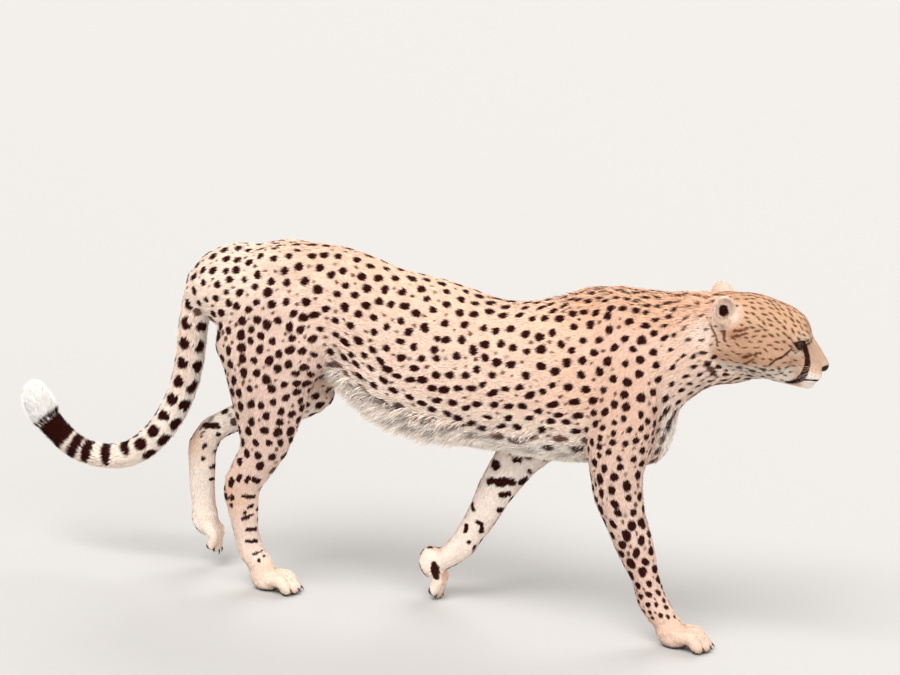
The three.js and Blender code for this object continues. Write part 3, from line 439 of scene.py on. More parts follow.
eye_at = head_frame.outside(eyes[-1].at)
SHIFT = eye_at - node_centre("eye_right") / MM
SHIFT[2] = 0.15


def to_frame(p):
    """From the body's millimetres to the frame's metres."""
    return (np.asarray(p) - SHIFT) * MM


# ---- from the form to a skin
LOT = 400000  # points worked out at a time


def lattice(*axes):
    """Every combination of the axes' values, a row each."""
    return np.stack(np.meshgrid(*axes, indexing="ij"), -1).reshape(-1, len(axes))


def net(low, high, cell):
    """Surface nets over the cells that the form's surface crosses."""
    low, high = np.array(low, float), np.array(high, float)
    # A block of cells stays while the surface may pass through it.
    span = 16
    n = np.ceil((high - low) / (cell * span)).astype(int)
    blocks = lattice(*[np.arange(k) for k in n]) * span
    while span > 4:
        centre = low + (blocks + span / 2) * cell
        blocks = blocks[np.abs(skin_form(centre)) < span * cell * 1.2 + 4]
        span //= 2
        blocks = (blocks[:, None] + lattice(*[[0, span]] * 3)).reshape(-1, 3)
    centre = low + (blocks + span / 2) * cell
    blocks = blocks[np.abs(skin_form(centre)) < span * cell * 1.2 + 3]
    big = 1 << 20
    key = lambda i: (i[..., 0] * big + i[..., 1]) * big + i[..., 2]
    keys = np.unique(key(blocks[:, None] + lattice(*[np.arange(span + 1)] * 3)))
    grid = np.stack([keys // (big * big), keys // big % big, keys % big], 1)
    lots = np.array_split(grid, 1 + len(grid) // LOT)
    value = np.concatenate([skin_form(low + lot * cell) for lot in lots])

    def find(wanted):
        at = np.minimum(np.searchsorted(keys, wanted), len(keys) - 1)
        return np.where(keys[at] == wanted, at, -1)

    steps = lattice(*[[0, 1]] * 3)
    corner = np.stack([find(key(grid + s)) for s in steps], 1)
    whole = (corner >= 0).all(1)
    v = np.where(whole[:, None], value[corner], 1)
    crossed = whole & (v.min(1) < 0) & (v.max(1) >= 0)
    cells = np.nonzero(crossed)[0]
    number = np.full(len(grid), -1)
    number[cells] = np.arange(len(cells))
    v = v[cells]
    total, count = np.zeros((len(cells), 3)), np.zeros(len(cells))
    for i in range(8):
        for j in range(i + 1, 8):
            if np.abs(steps[i] - steps[j]).sum() != 1:
                continue
            cut = (v[:, i] < 0) != (v[:, j] < 0)
            t = np.where(cut, v[:, i] / np.where(cut, v[:, i] - v[:, j], 1), 0)[:, None]
            total += np.where(cut[:, None], steps[i] + t * (steps[j] - steps[i]), 0)
            count += cut
    points = low + (grid[cells] + total / count[:, None]) * cell
    quads = []
    for axis in range(3):
        other = [i for i in range(3) if i != axis]
        e = np.eye(3, dtype=int)
        far = find(key(grid + e[axis]))
        cut = (far >= 0) & ((value < 0) != (value[far] < 0))
        base = grid[cut]
        around = [(0, 0), (-1, 0), (-1, -1), (0, -1)]
        ring = [find(key(base + a * e[other[0]] + b * e[other[1]])) for a, b in around]
        ring = np.stack([np.where(r >= 0, number[r], -1) for r in ring], 1)
        rising = value[cut] < 0
        turn = rising if axis != 1 else ~rising
        ring = np.where(turn[:, None], ring, ring[:, ::-1])
        quads.append(ring[(ring >= 0).all(1)])
    return points, np.concatenate(quads)


def settle(p, rounds=2):
    """Moves points onto the skin's surface."""
    nudge = 0.4
    for _ in range(rounds):
        d = skin_form(p)
        slope = np.stack([skin_form(p + e) - d for e in np.eye(3) * nudge], 1) / nudge
        size = np.maximum((slope * slope).sum(1), 0.25)
        p = p - np.clip(d / size, -2, 2)[:, None] * slope
    return p


def mesh_from(name, points, faces):
    """A smooth mesh of faces that all have the same number of sides."""
    mesh = bpy.data.meshes.new(name)
    mesh.vertices.add(len(points))
    mesh.vertices.foreach_set("co", np.asarray(points, np.float32).ravel())
    sides = faces.shape[1]
    mesh.loops.add(faces.size)
    mesh.loops.foreach_set("vertex_index", faces.ravel().astype(np.int32))
    mesh.polygons.add(len(faces))
    mesh.polygons.foreach_set("loop_start", np.arange(0, faces.size, sides, dtype=np.int32))
    mesh.polygons.foreach_set("use_smooth", np.ones(len(faces), bool))
    mesh.update(calc_edges=True)
    return mesh


def add_object(mesh):
    obj = bpy.data.objects.new(mesh.name, mesh)
    bpy.context.scene.collection.objects.link(obj)
    return obj


def read_points(mesh):
    points = np.zeros(len(mesh.vertices) * 3, np.float32)
    mesh.vertices.foreach_get("co", points)
    return points.reshape(-1, 3).astype(float)


def place(mesh, points):
    """Puts a mesh's vertices at these places of the body."""
    mesh.vertices.foreach_set("co", to_frame(points).astype(np.float32).ravel())
    mesh.update()


CELL = 3.6
skin_mesh = mesh_from("skin", *net((-600, -125, -4), (1104, 125, 744), CELL))

# Finer faces on the head and the paws.
bm = bmesh.new()
bm.from_mesh(skin_mesh)
at = np.array([v.co for v in bm.verts])
fine = (head_frame.inside(at)[:, 0] > -118) | (at[:, 2] < 62)
chosen = [e for e in bm.edges if fine[e.verts[0].index] and fine[e.verts[1].index]]
bmesh.ops.subdivide_edges(bm, edges=chosen, cuts=1, use_grid_fill=True)
bmesh.ops.triangulate(bm, faces=bm.faces[:])
bm.to_mesh(skin_mesh)
bm.free()
P = settle(read_points(skin_mesh))
F = np.zeros(len(skin_mesh.polygons) * 3, np.int32)
skin_mesh.polygons.foreach_get("vertices", F)
F = F.reshape(-1, 3)
face_normal = np.cross(P[F[:, 1]] - P[F[:, 0]], P[F[:, 2]] - P[F[:, 0]])
N = np.zeros_like(P)
for i in range(3):
    np.add.at(N, F[:, i], face_normal)
N = unit(N)

# ---- the parts, and how the coat lies on them
PARTS = ["torso", "neck", "head", "fore_right", "fore_left", "hind_right", "hind_left", "tail"]
SIDE = np.array([0, 0, 0, -1, 1, -1, 1, 0])  # each part's side: 1 is left, -1 right
index = {name: i for i, name in enumerate(PARTS)}


def survey(p):
    """For each part: its distance, the way its coat lies, the distance along it and the angle round it."""
    q = head_frame.inside(p)
    nose = np.array([150, 0, -14])
    back = unit(unit(q - nose) + np.array([-0.5, 0, 0])) @ head_frame.axes
    found = {"head": (skull_at(p), back, 146 - q[:, 0], np.arctan2(q[:, 1], q[:, 2]))}
    for name, tube in (("torso", torso), ("neck", neck)):
        d, way, gone, angle = tube(p, True)
        droop = np.abs(np.sin(angle))[:, None] * np.array([0, 0, -0.35])
        found[name] = d, unit(droop - way), gone, angle
    for name, leg in legs.items():
        d, way, gone, angle = leg(p, True)
        back = step(330, 560, p[:, 2])[:, None] * np.array([-0.5, 0, 0])
        end = leg.c[-1]
        past = np.maximum((p - end) @ leg.along[-1], 0)
        found[name] = np.minimum(d, paws[name][0](p)), unit(way + back), gone + past, angle
    found["tail"] = tail(p, True)
    return [np.stack([found[name][i] for name in PARTS], 1) for i in range(4)]


def value_noise(p, scale, seed):
    """Smooth noise from -1 to 1 over a lattice of that scale."""
    q = p / scale
    cell = np.floor(q).astype(np.int64)
    f = q - cell
    f = f * f * (3 - 2 * f)
    total = np.zeros(len(p))
    for corner in range(8):
        bit = np.array([corner & 1, corner >> 1 & 1, corner >> 2])
        h = ((cell + bit) * np.array([73856093, 19349663, 83492791])).sum(1) + seed * 7919
        h = (h ^ (h >> 13)) * 1274126177 & 0x7FFFFFFF
        h = (h ^ (h >> 16)) * 668265263 & 0x7FFFFFFF
        total += np.prod(np.where(bit, f, 1 - f), 1) * (h / 0x3FFFFFFF - 1)
    return total


PART_BLEND = 8  # millimetres over which one part's coat turns into the next one's
D, WAYS, GONE, ANGLE = survey(P)
part = D.argmin(1)
share = np.exp(-(D - D.min(1, keepdims=True)) / PART_BLEND)
way = (WAYS * share[:, :, None]).sum(1)
share /= share.sum(1, keepdims=True)
on_trunk, on_neck, on_head, fore_right, fore_left, hind_right, hind_left, on_tail = share.T
on_fore, on_hind = fore_right + fore_left, hind_right + hind_left
legs_part = on_fore + hind_right + hind_left
gone, angle = [np.take_along_axis(values, part[:, None], 1)[:, 0] for values in (GONE, ANGLE)]
sine, cosine = np.sin(angle), np.cos(angle)
# the coat of the chest hangs down, where the trunk's own line would fan it out from one point
chest_front = on_trunk * step(0.15, 0.6, N[:, 0]) * step(640, 700, P[:, 0])
way = way + 2.5 * chest_front[:, None] * np.array([0, 0, -1])
turn = 0.3 * value_noise(P, 60, 1) + 0.2 * value_noise(P, 22, 2)
way = unit(way - N * (N * way).sum(1, keepdims=True))
way = unit(way + turn[:, None] * np.cross(N, way))
H = head_frame.inside(P)
hx, hz = H[:, 0], H[:, 2]
X, Z = P[:, 0], P[:, 2]
head_part = step(-125, -95, hx) * (on_head > 0.2)
inner = step(0.1, 0.7, -N[:, 1] * SIDE[part])
# the angle round the trunk, the neck and the tail: 0 on top or in front, pi below or behind
trunk_turn, neck_turn, tail_turn = np.abs(ANGLE[:, [index["torso"], index["neck"], index["tail"]]]).T
top_turn = np.minimum(neck_turn, trunk_turn)


# ---- the coat's colours
def ink(r, g, b):
    """A colour of the screen as the light it stands for."""
    c = np.array([r, g, b]) / 255
    return np.where(c < 0.04045, c / 12.92, ((c + 0.055) / 1.055) ** 2.4)


SAND, TAN, ORANGE = ink(243, 214, 196), ink(240, 201, 175), ink(230, 182, 141)
CREAM, WHITE, RUSSET = ink(248, 230, 215), ink(252, 243, 234), ink(184, 126, 96)
FACE, SNOW = ink(218, 174, 143), ink(255, 253, 251)
DARK, BLACK, BROWN, UMBER = ink(47, 11, 6), ink(16, 11, 10), ink(104, 56, 30), ink(98, 50, 26)
tone = np.tile(SAND, (len(P), 1))


def tint(colour, amount):
    """Lays a colour over the coat's own, by an amount at each point."""
    tone[:] = tone + (colour - tone) * np.clip(amount, 0, 1)[:, None]


def around(at, radius):
    return np.exp(-((P - np.array(at)) ** 2).sum(1) / radius ** 2)


def both_sides(x, y, z, radius):
    """How near each point is to a place on the right, and to the same place on the left."""
    return around((x, -y, z), radius), around((x, y, z), radius)


def head_patch(x, z, long, high):
    """How near each point is to a place on the side of the head, in the head's forward and up."""
    return np.exp(-(((hx - x) / long) ** 2 + ((hz - z) / high) ** 2))


# The trunk and the neck: warmer along the top and on the shoulder, white below.
tint(TAN, (on_trunk + on_neck) * step(1.5, 0.1, trunk_turn) * 0.75)
tint(CREAM, step(60, -140, X) * on_trunk * 0.6 + on_tail * 0.5)
tint(TAN, sum(both_sides(690, 70, 540, 150)) * 0.7)
tint(ORANGE, (on_neck + on_trunk * step(480, 620, X)) * step(1.3, 0.2, neck_turn) * 0.5)
tint(RUSSET, sum(both_sides(100, 60, 470, 45)) * 0.4)
tint(CREAM, on_trunk * step(1.9, 2.5, trunk_turn) * 0.7)
tint(WHITE, on_trunk * step(2.35, 2.8, trunk_turn) * 0.9)
tint(WHITE, step(0.25, 0.75, N[:, 0]) * step(690, 730, X) * on_trunk * 0.9)
tint(CREAM, on_neck * (0.45 + 0.4 * step(1.9, 2.6, neck_turn)) * step(0.7, 1.4, neck_turn))
# The legs: white inside and towards the feet, orange at the heels.
tint(WHITE, legs_part * inner * step(430, 330, Z) * 0.8)
tint(CREAM, legs_part * step(300, 60, Z) * 0.55)
tint(WHITE, legs_part * step(60, 25, Z) * 0.5)
for heel in ((-222, 46, 272), (-102, -57, 200)):
    tint(ORANGE, around(heel, 42) * 0.65)
# The tail: white in front and towards its end, with a snow-white tip.
tint(WHITE, on_tail * step(1.4, 0.6, tail_turn) * step(60, 200, gone) * 0.8)
tint(WHITE, on_tail * step(230, 430, gone) * 0.8)
tint(SNOW, on_tail * step(712, 720, gone))
# The head: orange on top, then the face, the brow, the cheek, the muzzle, the chin and the ears.
tint(ORANGE, head_part * step(-5, 40, hz) * 0.7)
tint(FACE, head_part * step(30, 60, hz) * 0.3)
tint(FACE, head_part * step(46, 10, hz) * step(-110, -70, hx) * 0.9)
tint(RUSSET, head_part * head_patch(-62, -4, 24, 15) * 0.7)
tint(RUSSET, head_part * head_patch(-12, -38, 22, 11) * 0.45)
tint(RUSSET, head_part * head_patch(104, 8, 16, 22) * 0.25)
tint(WHITE, head_part * step(8, -10, hz + 50 - 0.28 * hx) * step(100, 76, hx) * 0.8)
tint(CREAM, head_part * head_patch(72, -2, 14, 8) * 0.8)
tint(CREAM, head_part * head_patch(74, 35, 14, 6) * 0.7)
tint(WHITE, head_part * step(-20, -36, hz) * step(100, 116, hx) * 0.9)
tint(CREAM, head_patch(-108, -26, 30, 34) * (on_head + on_neck) * 0.95)
ear_far = np.min([length_of(ears[k].inside(H) - EAR_MIDDLE) for k in (1, -1)], axis=0)
ear_near, ear_self = step(46, 36, ear_far), step(38, 30, ear_far)
tint(CREAM, np.maximum(ear_self * 0.9, ear_near * 0.35))
tint(TAN, ear_near * 0.25)


def deepen(amount, r, g, b):
    """Turns the coat's own light down to these shares of its red, green and blue."""
    tone[:] = tone * (1 + (np.array([r, g, b]) - 1) * np.clip(amount, 0, 1)[:, None])


outer = 1 - inner
deepen(legs_part * outer * step(60, 110, Z), 0.89, 0.88, 0.90)
deepen(on_fore * outer * step(240, 160, Z), 0.95, 0.86, 0.83)
# the feet darker below 75 mm: partly ground dirt, partly painted shade between the toes
deepen(legs_part * step(75, 50, Z), 0.95, 0.90, 0.85)
deepen(head_part * (1 - ear_self) * step(100, 84, hx), 0.85, 0.84, 0.81)
deepen(head_part * step(84, 100, hx) * step(-26, -14, hz), 0.90, 1.02, 1.10)
deepen(on_neck, 0.97, 0.92, 0.91)
deepen(on_tail * step(380, 500, gone) * step(716, 708, gone), 0.95, 0.9, 0.87)
# painted shade: the feet turn brown in their lowest 24 mm, near the ground and between the toes, where shade
# falls
tint(BROWN, legs_part * step(24, 6, Z) * 0.35)


# ---- spots
def blend(rests, table):
    """Values at each point: the rests, with each row's values laid over them by the row's amount."""
    out = [np.full(len(P), float(rest)) for rest in rests]
    for amount, *values in table:
        for layer, value in zip(out, values):
            if value is not None:
                layer += (value - layer) * np.clip(amount, 0, 1)
    return out


low_flank = on_trunk * step(1.35, 1.8, trunk_turn)
top = (on_trunk + on_neck) * step(0.5, 0.15, trunk_turn)
rump = on_trunk * step(20, -80, X)
thigh = step(330, 420, Z) * on_hind + rump
upper_arm = step(350, 400, Z) * step(500, 460, Z) * on_fore
nape = on_neck * step(735, 800, X)
forearm, wrist = on_fore * step(370, 330, Z), on_fore * step(150, 100, Z)
shank = on_hind * step(370, 330, Z)
foot = legs_part * step(75, 50, Z)
cheek, muzzle = head_part * step(20, -10, hz), head_part * step(84, 96, hx)
belly, belly_edge = on_trunk * step(2.5, 2.65, trunk_turn), on_trunk * step(2.3, 2.65, trunk_turn)
groin = np.maximum(*both_sides(120, 70, 470, 85))
pale_neck = head_patch(-125, -15, 34, 40) * (on_head + on_neck)
spine = (on_neck + on_trunk) * step(0.5, 0.2, top_turn) * step(430, 560, X)
# A region's spots: the room from one to the next, half their length and half their width.
gap, half_long, half_wide = blend((27, 9.3, 8.6), [
    (low_flank, 26.5, 10.8, 7.2), (top, None, 10, 7.2), (thigh, 24.5, 9.9, 9.1), (rump, None, 8.5, 7.7),
    (upper_arm, 19, 7.6, 6.6), (forearm, 24, 10.5, 8.2), (shank, 25, 10.1, 8.4), (wrist, 17, 7, 5.4),
    (foot, 13, 3.2, 2.6), (nape, 22, 7.4, 4.7), (spine, 17, 8.6, 4.5), (pale_neck, 26, 5.4, 2.8),
    (head_part, 11.5, 5.6, 2.3), (cheek, 14, 4.8, 1.9), (belly, 38, 14, 10), (groin, 20, 9.5, 6),
])
# How dark they are: none where the marks further down take their place.
inside_leg = step(0.35, 0.45, inner)
strength = blend((1,), [
    (nape * step(0.7, 0.2, neck_turn), 0.9), (pale_neck, 0.8), (head_part, 0.8), (cheek, 0.7), (muzzle, 0),
    (step(0.6, 0.7, on_tail), 0), (legs_part * step(58, 52, Z), 0), (belly, 0.6),
    (belly * step(400, 520, X), 0.95), (shank * step(262, 250, Z), 0),
    (shank * inside_leg * step(325, 315, Z), 0), (on_fore * inside_leg * step(335, 325, Z), 0),
    (on_trunk * step(2.75, 2.9, trunk_turn), 0),
])[0]


def scatter(chosen, room, kept=(), kept_room=()):
    """Places over the skin that keep their room from each other and from those kept already."""
    n = len(kept)
    at, space = np.zeros((n + len(chosen), 3)), np.zeros(n + len(chosen))
    at[:n], space[:n] = np.reshape(kept, (-1, 3)), kept_room
    found = []
    for i in chosen:
        d = at[:n] - P[i]
        if n == 0 or ((d * d).sum(1) > ((space[:n] + room[i]) / 2) ** 2).all():
            at[n], space[n] = P[i], room[i]
            n += 1
            found.append(i)
    return np.array(found)


def tree_of(points):
    tree = KDTree(len(points))
    for i, co in enumerate(points):
        tree.insert(co, i)
    tree.balance()
    return tree


# The large spots are thrown in, moved apart in a few rounds, and then the small ones fill what is left.
THROWN, SAMPLED, ROUNDS, THROWN_SMALL = 36000, 50000, 6, slice(26000, 60000)
NEAREST = 3  # spots that are looked at for each point
order = rng.permutation(len(P))
large = scatter(order[:THROWN], gap * 0.9)
sample = order[:SAMPLED]
for _ in range(ROUNDS):
    nearest = tree_of(P[large])
    owner = np.array([nearest.find(co)[1] for co in P[sample]])
    count = np.maximum(np.bincount(owner, minlength=len(large)), 1)
    middle = np.stack([np.bincount(owner, P[sample, i], len(large)) for i in range(3)], 1) / count[:, None]
    nearest = tree_of(P[sample])
    large = np.array([sample[nearest.find(co)[1]] for co in middle])
small = scatter(order[THROWN_SMALL], gap * 0.6, P[large], gap[large] * 0.72)
small = small[(rng.random(len(small)) < 0.75) & (head_part[small] < 0.5)]
centre = np.concatenate([large, small])
size = np.concatenate([rng.uniform(0.86, 1.1, len(large)), rng.uniform(0.26, 0.52, len(small))])
spot_at, spot_normal = P[centre], N[centre]
lean = rng.normal(0, 0.22, len(centre))[:, None]
fan = groin[centre][:, None]
spot_way = unit(way[centre] + lean * np.cross(spot_normal, way[centre]))
spot_way = unit(spot_way * (1 - fan) + np.array([-0.72, 0, 0.69]) * fan * 2)
spot_way = unit(spot_way - spot_normal * (spot_normal * spot_way).sum(1, keepdims=True))
spot_side = np.cross(spot_normal, spot_way)
spot_long = half_long[centre] * size * rng.uniform(0.88, 1.2, len(centre))
spot_wide = half_wide[centre] * size * rng.uniform(0.88, 1.12, len(centre))
spot_dark = strength[centre] * np.where(size > 0.6, 1, rng.uniform(0.5, 0.95, len(centre)))
spot_phase = rng.uniform(0, 6.28, (len(centre), 2))
spot_tree = tree_of(spot_at)


def near_spots(p):
    return np.array([[hit[1] for hit in spot_tree.find_n(co, NEAREST)] for co in p])


def spots(p, near):
    """How far inside a spot each point lies, and how dark that spot is."""
    best, dark = np.full(len(p), -30.0), np.zeros(len(p))
    for i in near.T:
        d = p - spot_at[i]
        u, v = (d * spot_way[i]).sum(1), (d * spot_side[i]).sum(1)
        a = np.arctan2(v, u)
        edge = 1 + 0.05 * np.sin(2 * a + spot_phase[i, 0]) + 0.05 * np.sin(3 * a + spot_phase[i, 1])
        r = np.sqrt((u / spot_long[i]) ** 2 + (v / spot_wide[i]) ** 2) * edge
        off = np.abs((d * spot_normal[i]).sum(1))
        value = spot_wide[i] * (1 - r) - np.maximum(off - 12, 0)
        closer = (value > best) & (spot_dark[i] > 0)
        best[closer], dark[closer] = value[closer], spot_dark[i][closer]
    return best, dark


# ---- marks of the head, the tail and the feet, and painted shade in the ears' hollows
# Strokes down the side of the head, in the head's forward and up: x, z, half width; then darkness.
STROKES = [
    ([(76, 23, 4), (84, 14, 5.6), (96, -3, 5.4), (102, -17, 6.2), (102.5, -35, 7), (100.5, -49, 7),
      (94, -58, 6), (84, -64, 4.2), (76, -66, 2.6)], 1.0),
    ([(58, 6, 1.8), (53, -3, 2.4), (44, -15, 2.6), (36, -21, 2.6), (28, -36, 2.2)], 0.95),
    ([(2, -19, 1.6), (-11, -29, 2.6), (-25, -40, 2.2)], 0.8),
    ([(-6, -36, 1.4), (-12, -46, 3), (-18, -54, 2)], 0.8),
    ([(-121, 7, 0.8), (-102, -12, 1.6), (-86, -28, 2), (-80, -40, 1)], 0.72),
    ([(-78, -6, 2.6), (-76, -14, 4), (-71, -24, 2)], 0.75),
    ([(-62, 2, 2), (-50, 8, 3.4), (-37, 19, 1.4)], 0.75),
    ([(-60, -9, 1.6), (-47, -1, 3), (-34, 9, 1.4)], 0.75),
    ([(94, 35, 1.2), (92, 26, 1.8), (87, 20, 2.4)], 0.8),
    ([(-78, -92, 4.5), (-66, -101, 4.4), (-54, -105, 2.8)], 0.9),
]
# Dashes on the lower cheek, in two rows: x, z, half length, half width.
DASHES = [
    (-23, -68, 7, 3.6), (3, -64, 8, 3.8), (20, -50, 8.5, 3), (38, -45, 4.4, 2.6), (50, -39, 4, 2.6),
    (65, -32, 4, 2.4), (4, -80, 8, 3.2), (28, -70, 5.4, 2.6), (37, -60, 5.6, 3), (59, -50, 4.6, 2.6),
    (-74, -91, 9.5, 4.2), (-44, -85, 4.6, 4), (-85, -81, 7, 3.6), (12, -92, 6, 2.6),
]
# Bars across the tail: the way along it, half the length, and the angle up to which they reach round it.
ALL_ROUND = 9
BARS = [(514, 14, 1.9), (566, 13, 2.6), (611, 12, 2.9), (641, 13, 3.2), (692, 28, ALL_ROUND)]
# The tail's rings of spots: the first one's place, the way to the next, a spot's half length and half width,
# where they end, and the tail's radius, which turns angles into widths.
RING_FROM, RING_EVERY, RING_LONG, RING_WIDE, RING_END, TAIL_GIRTH = 130, 43, 14, 12.8, 493, 28
# Marks on the legs: the height along the leg above its end, the angle round it (outward is more than 0)
# and the half width of each point of a stroke, for the right leg's outer side and the left leg's inner one.
LEG_MARKS = {
    "hind": [
        [(159, 1.25, 3.6), (160, 0.4, 3.4)], [(133, 0.75, 3.2), (141, 0.2, 3.4)],
        [(123, 1.05, 3.4), (122, 1.1, 3.4)], [(110, 1.45, 3.6), (114, 0.5, 3.6)],
        [(86, 1.25, 3.2), (82, 0.3, 3.6)], [(61, 1.4, 3), (55, 0.5, 4)], [(28, 1.1, 3), (27, 0.3, 3.4)],
        [(12, 1.0, 2.8), (10, 1.1, 2.6)], [(12, 0.5, 2.2), (11, 0.4, 2.2)],
        [(213, 0.7, 8.5), (211, 0.85, 8)], [(209, 1.32, 4.4), (199, 1.32, 4.4)],
        [(206, 1.98, 5.8), (192, 1.98, 5.8)], [(180, 2.45, 6), (179, 2.4, 6)],
        [(151, 2.85, 5.4), (152, 2.75, 5)], [(153, 2.3, 5.4), (153, 2.2, 5)],
        [(136, 2.43, 3.6), (138, 2.35, 3.2)], [(166, 2.98, 5), (168, 3.02, 5)],
        [(207, -2.6, 5), (214, -2.33, 7), (223, -2.1, 6), (230, -1.88, 7), (235, -1.6, 5)],
        [(197, -1.96, 6), (198, -1.9, 6)], [(225, -1.0, 5.6), (226, -0.95, 5.6)],
        [(179, -1.3, 6), (177, -1.2, 6.6)], [(194, -0.2, 5), (194, -0.05, 5.4)],
        [(174, -0.2, 5), (175, 0, 5.4)], [(127, -0.5, 3.2), (127, 0.1, 3.2)],
        [(101, -0.5, 3), (101, 0.0, 3)], [(147, -1.2, 4.4), (147, -1.1, 4.4)],
    ],
    "fore": [
        [(263, -2.46, 9.4), (259, -2.44, 9.4)], [(226, -2.15, 8), (239, -1.6, 9.4), (254, -0.99, 8.4)],
        [(274, -0.3, 7), (261, -0.42, 7.4)], [(224, -0.8, 8), (217, -1.0, 7.4)],
        [(161, -2.6, 7.4), (158, -2.4, 7.6)], [(181, -0.55, 6.4), (180, -0.42, 6.8)],
        [(113, -2.2, 6.4), (106, -2.1, 6.8)], [(137, -1.5, 5.4), (135, -1.2, 5.8)],
        [(130, -0.91, 6.2), (126, -0.9, 6.2)], [(89, -1.21, 4), (88, -1.15, 3.6)],
        [(304, -1.58, 7.6), (299, -1.55, 8)], [(298, -0.6, 5.4), (296, -0.5, 5)],
        [(308, -2.7, 6), (303, -2.7, 6.4)], [(84, -0.5, 3.8), (80, -0.5, 3.6)],
        [(0, -1.75, 6), (-5, -1.35, 8.6), (-9, -1.1, 7)],
    ],
}
LEG_GIRTH = 30  # a leg's usual radius, which turns angles into widths
MARK_BOX, PAD_BOX = ((-130, -90, -120), (160, 90, 100)), ((-45, -40, -8), (75, 40, 60))
AWAY = -50.0  # how far inside a mark a point counts as, where the mark isn't looked for


def stroke(x, z, points):
    """How far inside a stroke each point lies; the stroke's points are x, z and half width."""
    best = np.full(len(x), AWAY)
    for (x0, z0, w0), (x1, z1, w1) in zip(points, points[1:]):
        run, climb = x1 - x0, z1 - z0
        t = np.clip(((x - x0) * run + (z - z0) * climb) / (run ** 2 + climb ** 2), 0, 1)
        d = np.hypot(x - x0 - t * run, z - z0 - t * climb)
        best = np.maximum(best, w0 + t * (w1 - w0) - d)
    return best


def wrapped(turn_):
    """An angle brought between minus pi and pi."""
    return (turn_ + math.pi) % (2 * math.pi) - math.pi


def whisker_root(row, i):
    """Where a whisker leaves the muzzle, in the head's forward and up."""
    return 121 - 7.5 * i + 1.5 * row, -21 - 6.2 * row + 0.8 * i


